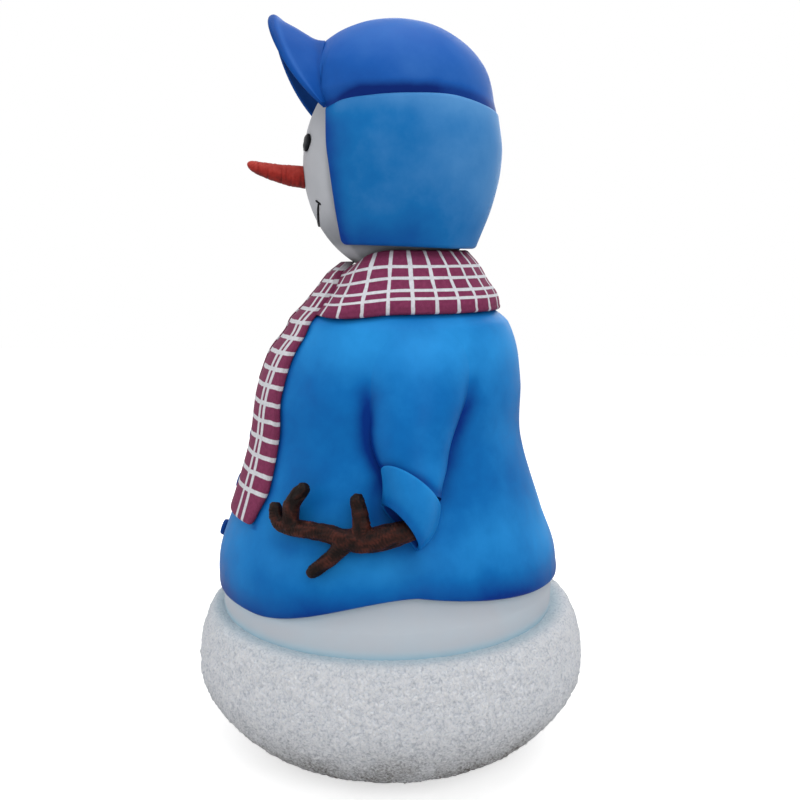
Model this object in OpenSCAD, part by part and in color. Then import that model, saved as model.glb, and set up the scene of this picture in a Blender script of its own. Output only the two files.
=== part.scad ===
// Life-size cast snowman figure: hollow shells on a steel post, with a lift-off head,
// pull-out branch arms and a pull-out carrot nose.
// Millimetres. +Z is up, the figure faces -Y and its left side is +X.
// The origin is on the floor under the middle of the base.

/* [Castings] */
// Wall of the cast shells
shell_wall = 6; // [5:0.5:8]
// Bonding gap between neighbouring castings
bond_gap = 0.5; // [0.4:0.1:0.8]
// Radial clearance of the pegs that pull out
peg_clear = 0.3; // [0.2:0.05:0.5]

/* [Snow base] */
// Widest diameter of the snow base
base_d = 984; // [960:2:1010]
// Diameter of its flat foot
foot_d = 560; // [530:5:600]
// Height of its widest ring
base_widest_z = 212; // [195:1:225]
// Height of the seam where the smooth belly starts
seam_z = 360; // [352:1:368]
// How far the seam lies inside the widest ring
seam_step = 46; // [40:1:52]
// Width of the bolting flanges inside the belly
flange_w = 48; // [44:1:56]
// Thickness of each bolting flange
flange_t = 8; // [6:0.5:12]

/* [Base board] */
// Thickness of the board that closes the base
board_t = 18; // [15:1:24]
// Bolt circle of the ground anchors
anchor_pcd = 420; // [380:5:450]
// Thread diameter of the ground anchors
anchor_thread = 10; // [8:1:12]
// Outer diameter of an anchor insert
anchor_d = 18; // [16:0.5:20]

/* [Steel frame] */
// Outer diameter of the post
post_d = 60; // [50:1:70]
// Wall of the post
post_wall = 4; // [3:0.5:5]
// Height of the post's top end inside the head
post_top_z = 1385; // [1360:5:1400]
// Width of a foot bar
bar_w = 50; // [40:1:60]
// Thickness of a foot bar
bar_t = 8; // [6:0.5:12]
// Length of a foot bar
bar_len = 470; // [440:5:480]
// Diameter of the frame bolts
bolt_d = 10; // [8:1:12]
// Distance of a frame bolt from the post's axis
bolt_reach = 180; // [150:5:190]

/* [Coat] */
// Wall of the coat casting
coat_wall = 9; // [7:0.5:11]
// Height of the hem at the front
hem_low_z = 419; // [412:1:426]
// Highest height of the hem, under the arms
hem_high_z = 500; // [480:2:515]
// Height of the hem at the back
hem_back_z = 445; // [435:1:460]
// How far the hem lies inside the seam
hem_step = 12; // [8:1:16]
// Height where the skirt is measured
skirt_z = 610; // [590:5:630]
// Coat radius at the skirt
skirt_r = 386; // [380:1:392]
// Height of the waist
waist_z = 790; // [770:5:810]
// Coat radius at the waist
waist_r = 336; // [330:1:342]
// Height of the chest
chest_z = 930; // [915:5:945]
// Coat radius at the chest
chest_r = 322; // [316:1:328]
// Height of the shoulders
shoulder_z = 1070; // [1062:1:1078]
// Coat radius at the shoulders
shoulder_r = 275; // [269:1:281]
// Coat radius under the scarf
yoke_r = 214; // [208:1:220]
// Height where the coat ends at the neck
neck_z = 1190; // [1185:1:1195]
// Coat radius at the neck
neck_r = 155; // [150:1:162]
// How far the neck and head sit behind the base's axis
neck_back = 20; // [10:1:30]
// How far the skirt sits in front of the base's axis
skirt_front = 9; // [4:1:12]

/* [Sleeves] */
// Direction of the sleeves, counted from straight ahead
sleeve_turn = 106; // [103:1:109]
// Widest part of a sleeve
sleeve_w = 234; // [222:1:244]
// Width of a sleeve at its cuff
sleeve_cuff_w = 138; // [130:1:146]
// How far a sleeve stands off the coat at its cuff
sleeve_h = 92; // [84:1:98]
// Height of the middle of the cuff's upper lip
lip_z = 739; // [733:1:745]
// Height of the middle of the cuff's mouth
mouth_z = 659; // [653:1:665]
// How far the lip stands out beyond the sleeve
lip_step = 9; // [6:1:12]
// Wall of the cuff round its mouth
cuff_wall = 10; // [8:0.5:12]
// Depth of the hollow in the cuff's mouth
mouth_depth = 18; // [14:1:22]

/* [Arms] */
// Diameter of the peg in a branch
arm_peg_d = 24; // [20:1:26]
// Length of the peg inside its socket
arm_peg_len = 38; // [32:1:42]
// Slope of the peg, rising into the cuff
arm_rise = 37; // [33:1:41]
// Wall of the peg's socket
socket_wall = 4; // [3:0.5:5]
// How far the peg turns away from the coat as it leaves the cuff
arm_splay = 18; // [15:1:22]
// Thickness of the branch where it leaves the cuff
branch_d = 46; // [40:1:50]
// Thickness of a twig
twig_d = 27; // [23:1:30]

/* [Scarf] */
// Height of the scarf's upper edge
scarf_top_z = 1236; // [1230:1:1242]
// Height of the scarf's lower edge at the back
scarf_low_z = 1110; // [1105:1:1114]
// How much lower that edge is beside the tails
scarf_drop = 16; // [10:1:20]
// How far the scarf stands off the coat at its lower edge
scarf_t = 24; // [20:1:28]
// Outer radius of the scarf at its upper edge
scarf_top_r = 176; // [172:1:180]
// Thickness of a scarf tail
tail_t = 12; // [9:1:16]
// Angle that a tail covers round the coat
tail_span = 31; // [26:1:34]
// Height where the long tail ends
long_tail_z = 612; // [595:1:640]
// Height where the short tail ends
short_tail_z = 925; // [900:5:950]

/* [Head] */
// Half width of the head
head_r = 232; // [228:1:236]
// Half height of the head
head_half_h = 265; // [260:1:270]
// How far the head is turned to its left
head_turn = 12; // [0:1:15]
// Height of the head's opening above the coat's neck
head_up = 16; // [13:1:20]
// Diameter of the head's opening at the neck
head_neck_d = 181; // [160:1:186]
// Wall of the sleeve that drops over the post
neck_sleeve_wall = 5; // [4:0.5:7]
// Thickness of the boards inside the head
head_board_t = 12; // [9:1:15]

/* [Hat] */
// How far the crown stands out beyond the head
crown_step = 11; // [9:1:14]
// Height of the crown above its rim
crown_h = 202; // [196:1:208]
// Height of the crown's rim above the head's middle
rim_up = 134; // [130:1:138]
// How far the crown sits behind the base's axis
crown_back = 9; // [6:1:14]
// How far the ear flaps stand out beyond the head
flap_step = 19; // [17:1:22]
// How far the ear flaps draw in at their lower edge
flap_tuck = 61; // [57:1:65]
// Gap between the ear flaps and the scarf
flap_clear = 16; // [12:1:20]
// Thickness of the ear flaps
flap_t = 16; // [12:1:18]
// Half angle of the face left open by the ear flaps
face_half = 41; // [37:1:45]
// Length of the turned-up bill at its middle
bill_len = 130; // [122:1:138]
// Upward slope of the bill at its middle
bill_rise = 28; // [25:1:31]
// Thickness of the bill
bill_t = 12; // [9:1:15]
// Height of the bill's root above the head's middle
bill_up = 269; // [264:1:274]
// Height of the bill's temples above the head's middle
temple_up = 116; // [112:1:120]

/* [Face] */
// How far the nose sits below the head's middle
nose_drop = 29; // [20:1:36]
// Upward slope of the nose at the face
nose_rise = 4; // [2:1:8]
// Thickness of the carrot at the face
nose_d = 54; // [48:1:58]
// Length of the carrot
nose_len = 137; // [125:1:150]
// Diameter of the nose peg
nose_peg_d = 20; // [16:1:24]
// Length of the nose peg
nose_peg_len = 60; // [50:1:70]
// Diameter of an eye
eye_d = 42; // [36:1:46]
// How far an eye stands out of the face
eye_h = 8; // [6:0.5:12]
// Half angle between the eyes
eye_half = 16; // [14:1:20]
// Height of the eyes above the head's middle
eye_up = 46; // [40:1:52]
// Thickness of the mouth's bead
mouth_d = 7; // [5:0.5:8]
// Half angle of the smile
mouth_half = 25; // [22:1:28]
// How far the middle of the smile sits below the head's middle
smile_drop = 144; // [138:1:148]
// How far the ends of the smile rise
smile_rise = 50; // [44:1:56]

/* [Buttons] */
// Diameter of a coat button
button_d = 42; // [36:1:48]
// How far a button stands out
button_h = 14; // [11:1:18]
// Direction of the button row, counted from straight ahead
button_turn = 2; // [0:1:5]
// Height of the lowest button
button_low_z = 526; // [516:2:540]
// Distance between buttons
button_pitch = 128; // [115:1:136]

/* [Hidden] */
$fn = 64;

base_r = base_d / 2;
foot_r = foot_d / 2;
seam_r = base_r - seam_step;
hem_r = seam_r - hem_step;
base_low_b = base_widest_z / sqrt(1 - pow(foot_r / base_r, 2));
base_high_n = 2.3;
base_high_b = (seam_z - base_widest_z) / pow(1 - pow(seam_r / base_r, base_high_n), 1 / base_high_n);
belly_lap = 60;
belly_top_z = hem_high_z + belly_lap;
yoke_z = shoulder_z + 50;
coat_sides = 60;
hem_rows = 6;
upper_rows = 30;
lining_rows = 10;
base_wall = 1.6 * shell_wall;
board_r = foot_r - base_wall - bond_gap;
flange_bolt_d = 8;
thread_gap = 0.05;
flange_bolt_count = 8;
flange_r = hem_r - coat_wall - bond_gap - flange_w;
flange_bolt_r = flange_r + 0.46 * flange_w;
neck_board_t = 15;
neck_board_z = neck_z - neck_board_t - 4;
collar_h = 14;
collar_wall = 12;
tail_gap = 1;
tail_lift = 2;
tail_flare = 3.5;
tail_columns = 8;
tail_rise = 24;
tail_bend_z = neck_z + tail_gap;
scarf_gap = 2;
tail_flare_h = 160;
long_tail_turn = 31;
short_tail_turn = -4;
sleeve_top_z = shoulder_z + 4;
sleeve_edge_t = 0.8;
lip_slope = 0.52;
mouth_slope = 1.32;
cuff_sides = 24;
button_count = 3;
button_gap = 0.5;
forehead_drop = 45;
nose_curve = 0.145;
bill_half = face_half + 0.4;
bill_droop = 85;
bill_curl = 0.08;

// Interpolation and lofting

function mix(a, b, t) = a + (b - a) * t;
function clamp01(t) = max(0, min(1, t));
function ease(t) = let (u = clamp01(t)) u * u * (3 - 2 * u);
function knot_slope(p, i) =
    let (a = p[max(0, i - 1)], b = p[min(len(p) - 1, i + 1)]) (b[1] - a[1]) / (b[0] - a[0]);
function knot_at(p, x, i = 0) = i >= len(p) - 2 || x <= p[i + 1][0] ? i : knot_at(p, x, i + 1);
function through(p, x) =
    let (
        i = knot_at(p, x),
        h = p[i + 1][0] - p[i][0],
        t = clamp01((x - p[i][0]) / h),
        u = 1 - t
    )
    u * u * (1 + 2 * t) * p[i][1] + t * u * u * h * knot_slope(p, i)
    + t * t * (1 + 2 * u) * p[i + 1][1] - t * t * u * h * knot_slope(p, i + 1);
function middle(ring) = [for (k = [0:2]) let (v = [for (p = ring) p[k]]) (v * [for (x = v) 1]) / len(v)];

// Side faces between stacked rings of n points
function ring_faces(n, rows, closed) = [
    for (i = [0:rows - (closed ? 1 : 2)], j = [0:n - 1])
        let (a = i * n + j, b = i * n + (j + 1) % n, k = (i + 1) % rows)
        let (c = k * n + j, d = k * n + (j + 1) % n)
        each [[a, d, b], [a, c, d]]
];

// Closed solid through stacked rings
module loft(rings) {
    n = len(rings[0]);
    m = len(rings);
    caps = [for (j = [0:n - 1]) each [
        [m * n, j, (j + 1) % n],
        [m * n + 1, (m - 1) * n + (j + 1) % n, (m - 1) * n + j]
    ]];
    polyhedron(
        [for (r = rings) each r, middle(rings[0]), middle(rings[m - 1])],
        concat(ring_faces(n, m, false), caps)
    );
}

// Open-ended wall: rings run up the outside and down the inside
module wall_loft(rings) {
    polyhedron([for (r = rings) each r], ring_faces(len(rings[0]), len(rings), true));
}

// Slab between an outer and an inner grid of the same size
module slab(outer, inner) {
    m = len(outer);
    n = len(outer[0]);
    q = m * n;
    skins = [for (i = [0:m - 2], j = [0:n - 2])
        let (a = i * n + j, b = a + 1, c = a + n, d = c + 1)
        each [[a, d, b], [a, c, d], [q + a, q + b, q + d], [q + a, q + d, q + c]]];
    ends = [for (j = [0:n - 2]) let (a = j, b = j + 1, c = (m - 1) * n + j, d = c + 1)
        each [[a, b, q + b], [a, q + b, q + a], [d, c, q + c], [d, q + c, q + d]]];
    sides = [for (i = [0:m - 2]) let (a = i * n, c = a + n, b = a + n - 1, d = b + n)
        each [[c, a, q + a], [c, q + a, q + c], [b, d, q + d], [b, q + d, q + b]]];
    polyhedron(
        concat([for (row = outer) each row], [for (row = inner) each row]),
        concat(skins, ends, sides)
    );
}

module mirrored(right) {
    if (right) mirror([1, 0, 0]) children();
    else children();
}

// Turns everything on the head about the post
module head_turned() {
    translate([0, neck_back, 0]) rotate(head_turn) translate([0, -neck_back, 0]) children();
}

// Solid of revolution whose profile is a list of [radius, height]
module turned(profile, back = 0) {
    translate([0, back, 0]) rotate_extrude() polygon(profile);
}

// Tube along an axis, with the bore left open
module tube(od, id, h) {
    difference() {
        cylinder(d = od, h = h);
        translate([0, 0, -1]) cylinder(d = id, h = h + 2);
    }
}

// Heights on the head, which stands on the coat's neck

head_cut_turn = -acos(head_neck_d / 2 / head_r);
head_cut_z = neck_z + head_up;
head_z = head_cut_z - head_half_h * sin(head_cut_turn);
crown_r = head_r + crown_step;
rim_z = head_z + rim_up;
flap_r = head_r + flap_step;
flap_low_r = flap_r - flap_tuck;
flap_low_z = scarf_top_z + flap_clear;
bill_root_z = head_z + bill_up;
bill_temple_z = head_z + temple_up;
nose_z = head_z - nose_drop;
eye_z = head_z + eye_up;
smile_low_z = head_z - smile_drop;
smile_high_z = smile_low_z + smile_rise;

// Body surfaces

function base_out(z) = z < base_widest_z
    ? base_r * sqrt(1 - pow((base_widest_z - z) / base_low_b, 2))
    : base_r * pow(1 - pow((z - base_widest_z) / base_high_b, base_high_n), 1 / base_high_n);
coat_knots = [
    [hem_low_z, hem_r], [skirt_z, skirt_r], [waist_z, waist_r], [chest_z, chest_r],
    [shoulder_z, shoulder_r], [yoke_z, yoke_r], [neck_z, neck_r]
];
function coat_r(z) = through(coat_knots, z);
function lean(z) = mix(-skirt_front, neck_back, ease((z - waist_z + 10) / (yoke_z - waist_z + 10)));
function on_coat(turn, z, off) =
    let (r = coat_r(z) + off) [r * sin(turn), lean(z) - r * cos(turn), z];
function hem_z(turn) = let (a = min(turn, 360 - turn)) a < sleeve_turn
    ? mix(hem_low_z, hem_high_z, ease((a - 50) / (sleeve_turn - 50)))
    : mix(hem_high_z, hem_back_z, sin(90 * (a - sleeve_turn) / (180 - sleeve_turn)));
function belly_r(z) = coat_r(z) - coat_wall - bond_gap;
function outside_coat(p, off) =
    let (y = p.y - lean(p.z), r = norm([p.x, y]), k = max(1, (coat_r(p.z) + off) / r))
    [p.x * k, lean(p.z) + y * k, p.z];

module snow_base() color("#e4e9f2") {
    steps = 16;
    outer = [for (i = [0:steps]) let (z = seam_z * i / steps) [base_out(z), z]];
    inner = [for (i = [steps:-1:0]) let (z = (seam_z - flange_t) * i / steps) [base_out(z) - base_wall, z]];
    difference() {
        turned(concat(outer, [[flange_r, seam_z], [flange_r, seam_z - flange_t]], inner));
        flange_holes(seam_z - flange_t - 1, flange_t + 2);
    }
}

module flange_places() {
    for (i = [0:flange_bolt_count - 1])
        rotate(360 * (i + 0.5) / flange_bolt_count) translate([flange_bolt_r, 0, 0]) children();
}

module flange_holes(z, h) {
    flange_places() translate([0, 0, z]) cylinder(d = flange_bolt_d + 2 * bond_gap, h = h);
}

module belly_shell() color("#dfe4ee") {
    steps = 8;
    foot_z = seam_z + bond_gap;
    outer = [for (i = [0:steps]) let (z = mix(foot_z, belly_top_z, i / steps)) [belly_r(z), z]];
    inner = [for (i = [steps:-1:0])
        let (z = mix(foot_z + flange_t, belly_top_z, i / steps)) [belly_r(z) - shell_wall, z]];
    flange = [[flange_r, foot_z + flange_t], [flange_r, foot_z]];
    difference() {
        turned(concat(outer, inner, flange), -skirt_front);
        flange_holes(foot_z - 1, flange_t + 2);
    }
}

module flange_bolts() color("silver") {
    length = 2 * flange_t + bond_gap + flange_bolt_d;
    flange_places() translate([0, 0, seam_z + bond_gap + flange_t]) {
        cylinder(d = 1.9 * flange_bolt_d, h = 0.65 * flange_bolt_d, $fn = 6);
        translate([0, 0, -length]) cylinder(d = flange_bolt_d, h = length);
    }
}

module flange_nuts() color("silver") {
    flange_places() translate([0, 0, seam_z - flange_t - 0.8 * flange_bolt_d])
        difference() {
            cylinder(d = 1.9 * flange_bolt_d, h = 0.8 * flange_bolt_d, $fn = 6);
            translate([0, 0, -1]) cylinder(d = flange_bolt_d + 2 * thread_gap, h = flange_bolt_d + 2);
        }
}

// Coat

coat_turns = [for (j = [0:coat_sides - 1]) 360 * j / coat_sides];
hem_join_z = hem_high_z + belly_lap / 2;
coat_rows = [for (i = [0:upper_rows]) mix(hem_join_z, neck_z, i / upper_rows)];
function coat_ring(height, off) =
    [for (t = coat_turns) on_coat(t, height < 0 ? mix(hem_join_z, hem_z(t), -height) : height, off)];

module coat_shell() color("#1c74cc") {
    flat = 1 / cos(180 / coat_sides);
    lining = function (z) -coat_wall + (flat - 1) * coat_r(z);
    outside = concat(
        [for (i = [0:hem_rows - 1]) coat_ring(-(hem_rows - i) / hem_rows, 0)],
        [for (z = coat_rows) coat_ring(z, 0)]
    );
    inside = concat(
        [for (i = [lining_rows:-1:0])
            let (z = mix(hem_join_z, neck_z, i / lining_rows)) coat_ring(z, lining(z))],
        [for (i = [1:3]) [for (t = coat_turns)
            let (z = mix(hem_join_z, hem_z(t), i / 3)) on_coat(t, z, lining(z))]]
    );
    wall_loft(concat(outside, inside));
}

module neck_board() color("#c8a878") {
    r = coat_r(neck_board_z + neck_board_t) - coat_wall - bond_gap;
    translate([0, neck_back, neck_board_z]) difference() {
        cylinder(r = r, h = neck_board_t);
        translate([0, 0, -1]) cylinder(d = post_d + 2 * bond_gap, h = neck_board_t + 2);
    }
}

// Sleeves and cuffs

sleeve_widths = [
    [lip_z - 60, sleeve_cuff_w], [lip_z + 40, sleeve_cuff_w + 22],
    [chest_z - 65, mix(sleeve_cuff_w, sleeve_w, 0.6)], [chest_z + 45, sleeve_w],
    [shoulder_z - 40, 0.95 * sleeve_w], [sleeve_top_z, 0.75 * sleeve_w]
];
sleeve_heights = [
    [lip_z - 60, sleeve_h], [lip_z + 40, 0.93 * sleeve_h], [chest_z - 65, 0.76 * sleeve_h],
    [chest_z + 30, 0.46 * sleeve_h], [shoulder_z - 40, 0.17 * sleeve_h], [sleeve_top_z, 0]
];
lip_fore = 8;
lip_y = lean(lip_z) - (coat_r(lip_z) + 0.5 * sleeve_h) * cos(sleeve_turn) - lip_fore;
lip_half = sleeve_cuff_w / 2 + 2;
lip_x = coat_r(lip_z) * sin(sleeve_turn) + sleeve_h + lip_step - lip_half;
lip_tilt = 0.75;
mouth_y = lip_y - 2 * lip_fore;
mouth_half_w = 0.88 * lip_half;
mouth_x = lip_x + 16;
cuff_swell = 14;
lip_clear = 14;

function sleeve_swell(t, z) =
    through(sleeve_heights, z)
    * pow(max(0, 1 - t * t), mix(0.5, 1.5, ease((z - lip_z) / (shoulder_z - 40 - lip_z))));
function sleeve_turn_at(t, z) = sleeve_turn + t * through(sleeve_widths, z) / 2 / coat_r(z) * 180 / PI;
// Height of the sleeve's end, a little above the plane of the cuff's lip
function sleeve_end_z(t, skin) =
    let (p = on_coat(sleeve_turn_at(t, lip_z), lip_z, skin * sleeve_swell(t, lip_z)))
    lip_z + lip_clear + lip_slope * (lip_y - p.y) + lip_tilt * (p.x - lip_x);

module left_sleeve_solid() {
    rows = 14;
    columns = 14;
    grid = function (skin) [for (i = [0:rows]) [for (j = [0:columns])
        let (t = sin(90 * (2 * j / columns - 1)), z = mix(sleeve_end_z(t, skin), sleeve_top_z, i / rows))
        on_coat(sleeve_turn_at(t, z), z, tail_gap + skin * (sleeve_edge_t + sleeve_swell(t, z)))]];
    slab(grid(1), grid(0));
}

module left_sleeve() color("#1b70c6") left_sleeve_solid();
module right_sleeve() color("#1b70c6") mirrored(true) left_sleeve_solid();

// Ring of the cuff: s runs from the lip to the mouth, inset and sink shape the hollow
function cuff_ring(s, inset, sink) =
    let (
        slope = mix(lip_slope, mouth_slope, s),
        out = [1, 0, mix(lip_tilt, 0, s)],
        across = [0, -1, slope] / norm([1, slope]),
        centre = [mix(lip_x, mouth_x, s), mix(lip_y, mouth_y, s), mix(lip_z, mouth_z, s)]
            - sink * cross([1, 0, 0], across),
        half = mix(lip_half, mouth_half_w, s) - inset
    )
    [for (j = [0:cuff_sides - 1])
        let (a = 360 * j / cuff_sides, swell = cuff_swell * sin(180 * s) * (1 - sin(a)) / 2)
        outside_coat(centre + (half + swell) * (cos(a) * out + sin(a) * across), tail_gap + inset)];

module left_cuff_solid() {
    outer = [for (i = [0:5]) cuff_ring(i / 5, 0, 0)];
    hollow = [for (i = [0:2]) cuff_ring(1, cuff_wall + i, mouth_depth * i / 2)];
    difference() {
        loft(concat(outer, hollow));
        left_arm_axis() translate([0, 0, -peg_grip])
            cylinder(d = socket_d + 2 * bond_gap, h = peg_grip + socket_len + bond_gap);
    }
}

module left_cuff() color("#2079d0") left_cuff_solid();
module right_cuff() color("#2079d0") mirrored(true) left_cuff_solid();

// Arms

peg_grip = 30;
branch_back = 6;
socket_d = arm_peg_d + 2 * (peg_clear + socket_wall);
socket_len = arm_peg_len + 2;
arm_in = [-sin(arm_splay) * cos(arm_rise), cos(arm_splay) * cos(arm_rise), sin(arm_rise)];
arm_root = [mouth_x + 22, mouth_y + 12, mouth_z - 15] + mouth_depth * arm_in;
module left_arm_axis() { translate(arm_root) rotate([arm_rise - 90, 0, arm_splay]) children(); }

module left_arm_socket_solid() { left_arm_axis() tube(socket_d, arm_peg_d + 2 * peg_clear, socket_len); }
module left_arm_socket() color("#8a8f96") left_arm_socket_solid();
module right_arm_socket() color("#8a8f96") mirrored(true) left_arm_socket_solid();

module left_arm_peg_solid() {
    left_arm_axis() translate([0, 0, -peg_grip]) cylinder(d = arm_peg_d, h = peg_grip + arm_peg_len);
}
module left_arm_peg() color("#b08a5a") left_arm_peg_solid();
module right_arm_peg() color("#b08a5a") mirrored(true) left_arm_peg_solid();

// Branch routes from the peg's root, each point with the branch's radius there
branch_fork = [8, -153, -23];
branch_palm = [-35, -287, -10];
branch_routes = [
    [[[0, 0, 0], 0.38 * branch_d], [-40 * arm_in, 0.47 * branch_d], [[6, -81, -15], 0.48 * branch_d],
        [branch_fork, 0.45 * branch_d], [[-5, -203, -11], 0.38 * branch_d],
        [[-19, -251, -10], 0.36 * branch_d], [branch_palm, 0.34 * branch_d]],
    [[branch_palm, 0.34 * branch_d], [[-38, -289, 33], 0.52 * twig_d], [[-36, -279, 58], 0.5 * twig_d],
        [[-32, -259, 82], 0.44 * twig_d]],
    [[branch_palm, 0.34 * branch_d], [[-51, -325, -3], 0.5 * twig_d], [[-59, -333, 31], 0.45 * twig_d]],
    [[[8, -119, -13], 0.45 * branch_d], [[9, -123, 27], 0.5 * twig_d], [[5, -133, 77], 0.46 * twig_d]],
    [[branch_fork, 0.45 * branch_d], [[13, -193, -67], 0.52 * twig_d], [[17, -229, -97], 0.47 * twig_d]]
];

module left_branch_solid() {
    difference() {
        union()
            for (route = branch_routes, i = [0:len(route) - 2])
                hull() for (k = [i, i + 1])
                    translate(arm_root + route[k][0]) sphere(r = route[k][1], $fn = 10);
        left_arm_axis() {
            translate([0, 0, -peg_grip - bond_gap])
                cylinder(d = arm_peg_d + 4 * bond_gap, h = 2 * peg_grip, $fn = 32);
            translate([0, 0, -branch_back]) cylinder(d = 3 * branch_d, h = 2 * branch_d);
        }
    }
}
module left_branch() color("#4a2a1e") left_branch_solid();
module right_branch() color("#4a2a1e") mirrored(true) left_branch_solid();

// Scarf

function scarf_edge(turn) = scarf_low_z - scarf_drop * (1 - ease((min(turn, 360 - turn) - 54) / 46));
scarf_roll = [[0, 0], [0.3, 0.17], [0.62, 0.5], [1, 1]];
scarf_fold = 2.5;
function scarf_out(w, turn) =
    mix(coat_r(scarf_edge(turn)) + scarf_t, scarf_top_r, through(scarf_roll, w)) + scarf_fold * sin(540 * w);
// The tails lie on the coat and turn in over the neck at their tops
function tail_r(z) = z < tail_bend_z ? coat_r(z) : coat_r(tail_bend_z) - 1.3 * (z - tail_bend_z);
tail_top_z = neck_z + tail_rise;
function tail_spread(z) = tail_flare * ease((z - shoulder_z) / tail_flare_h + 0.81);
long_tail_edge = function (z) long_tail_turn + tail_span / 2 + 2 * tail_spread(z);
short_tail_edge = function (z) short_tail_turn - tail_span / 2 - 2 * tail_spread(z);

module scarf_wrap() color("#7d2c52") {
    columns = 44;
    rows = 10;
    turns = function (z, j) mix(long_tail_edge(z) + 0.5, 360 + short_tail_edge(z) - 0.5, j / columns);
    point = function (w, j, skin) let (
            t0 = turns(scarf_low_z, j),
            z = mix(scarf_edge(t0), scarf_top_z, w),
            t = turns(z, j),
            r = mix(coat_r(z) + scarf_gap, scarf_out(w, t), skin)
        )
        [r * sin(t), lean(z) - r * cos(t), z];
    grid = function (skin) [for (i = [0:rows]) [for (j = [0:columns]) point(i / rows, j, skin)]];
    slab(grid(1), grid(0));
}

module scarf_tail(end_z, turn, lift, side_sign) {
    rows = concat(
        [end_z],
        [for (z = coat_rows) if (z > end_z + tail_t / 2 && z < tail_bend_z - tail_t / 2) z],
        [tail_bend_z, tail_top_z]
    );
    grid = function (off) [for (z = rows) [for (j = [0:tail_columns])
        let (
            side = 2 * j / tail_columns - 1,
            a = turn + tail_span / 2 * side + side_sign * tail_spread(z) * (1 + side_sign * side),
            r = tail_r(z) + tail_gap + off * (lift + tail_t * (0.8 + 0.2 * (1 - side * side)))
        )
        [r * sin(a), lean(z) - r * cos(a), z]]];
    slab(grid(1), grid(0));
}

module scarf_tail_long() color("#84304f") scarf_tail(long_tail_z, long_tail_turn, 0, 1);
module scarf_tail_short() color("#84304f") scarf_tail(short_tail_z, short_tail_turn, tail_lift, -1);

// Buttons

module coat_buttons() color("#123f86") {
    for (i = [0:button_count - 1]) {
        z = button_low_z + i * button_pitch;
        tilt = atan((coat_r(z + 10) - coat_r(z - 10)) / 20);
        translate(on_coat(button_turn, z, button_gap)) rotate([0, 0, button_turn]) rotate([90 + tilt, 0, 0])
            rotate_extrude() polygon([
                [0, 0], [0.45 * button_d, 0], [0.5 * button_d, 0.3 * button_h],
                [0.475 * button_d, 0.75 * button_h], [0.42 * button_d, button_h], [0.34 * button_d, button_h],
                [0.3 * button_d, 0.72 * button_h], [0, 0.78 * button_h]
            ]);
    }
}

// Base board and steel frame

module base_board() color("#c8a878") difference() {
    cylinder(r = board_r, h = board_t);
    anchor_places() translate([0, 0, -1]) cylinder(d = anchor_d + 2 * peg_clear, h = board_t + 2);
    frame_bolt_places() translate([0, 0, -1]) cylinder(d = bolt_d + 2 * peg_clear, h = board_t + 2);
    frame_bolt_places() translate([0, 0, -1]) cylinder(d = 2.4 * bolt_d, h = 1 + 0.9 * bolt_d);
}

module anchor_places() { for (a = [45:90:315]) rotate(a) translate([anchor_pcd / 2, 0, 0]) children(); }
module frame_bolt_places() {
    translate([0, neck_back, 0]) for (a = [0:90:270]) rotate(a) translate([bolt_reach, 0, 0]) children();
}

module anchor_inserts() color("#b9bcc2") anchor_places() tube(anchor_d, anchor_thread, board_t);

module foot_bars() color("#6d7278") translate([0, neck_back, board_t]) difference() {
    for (a = [0, 90]) rotate(a) translate([-bar_len / 2, -bar_w / 2, 0]) cube([bar_len, bar_w, bar_t]);
    translate([0, -neck_back, -1]) frame_bolt_places() cylinder(d = bolt_d + 2 * peg_clear, h = bar_t + 2);
}

module armature_post() color("#6d7278") translate([0, neck_back, board_t + bar_t])
    tube(post_d, post_d - 2 * post_wall, post_top_z - board_t - bar_t);

module frame_bolts() color("silver") frame_bolt_places() translate([0, 0, board_t + bar_t]) {
    length = board_t + bar_t - 0.1 * bolt_d;
    cylinder(d = 1.9 * bolt_d, h = 0.65 * bolt_d, $fn = 6);
    translate([0, 0, -length]) cylinder(d = bolt_d, h = length);
}

module frame_nuts() color("silver") frame_bolt_places() translate([0, 0, 0.1 * bolt_d]) difference() {
    cylinder(d = 1.9 * bolt_d, h = 0.8 * bolt_d, $fn = 6);
    translate([0, 0, -1]) cylinder(d = bolt_d + 2 * thread_gap, h = bolt_d + 2);
}

module post_collar() color("#6d7278") translate([0, neck_back, neck_board_z + neck_board_t])
    tube(post_d + 2 * collar_wall, post_d + 2 * thread_gap, collar_h);

// Head

function head_out(z) = head_r * sqrt(max(0, 1 - pow((z - head_z) / head_half_h, 2)));
head_in_r = head_r - shell_wall;
head_in_half_h = head_half_h - shell_wall;
function head_in(z) = head_in_r * sqrt(max(0, 1 - pow((z - head_z) / head_in_half_h, 2)));
head_in_turn = asin((head_cut_z - head_z) / head_in_half_h);

module head_shell() color("#d8dae0") head_turned() {
    steps = 22;
    outer = [for (i = [0:steps]) let (a = mix(head_cut_turn, 90, i / steps))
        [head_r * cos(a), head_z + head_half_h * sin(a)]];
    inner = [for (i = [steps:-1:0]) let (a = mix(head_in_turn, 90, i / steps))
        [head_in_r * cos(a), head_z + head_in_half_h * sin(a)]];
    difference() {
        turned(concat(outer, inner), neck_back);
        nose_axis() translate([0, 0, -nose_peg_len - 40])
            cylinder(d = nose_socket_d + 2 * bond_gap, h = nose_peg_len + 140);
    }
}

sleeve_foot_z = neck_board_z + neck_board_t + collar_h + bond_gap;
neck_sleeve_d = post_d + 2 * (peg_clear + neck_sleeve_wall);
head_floor_z = head_cut_z + 10;
head_web_z = post_top_z - 30;

module neck_sleeve() color("#8a8f96") translate([0, neck_back, sleeve_foot_z])
    tube(neck_sleeve_d, post_d + 2 * peg_clear, head_web_z + head_board_t - sleeve_foot_z);

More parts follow.
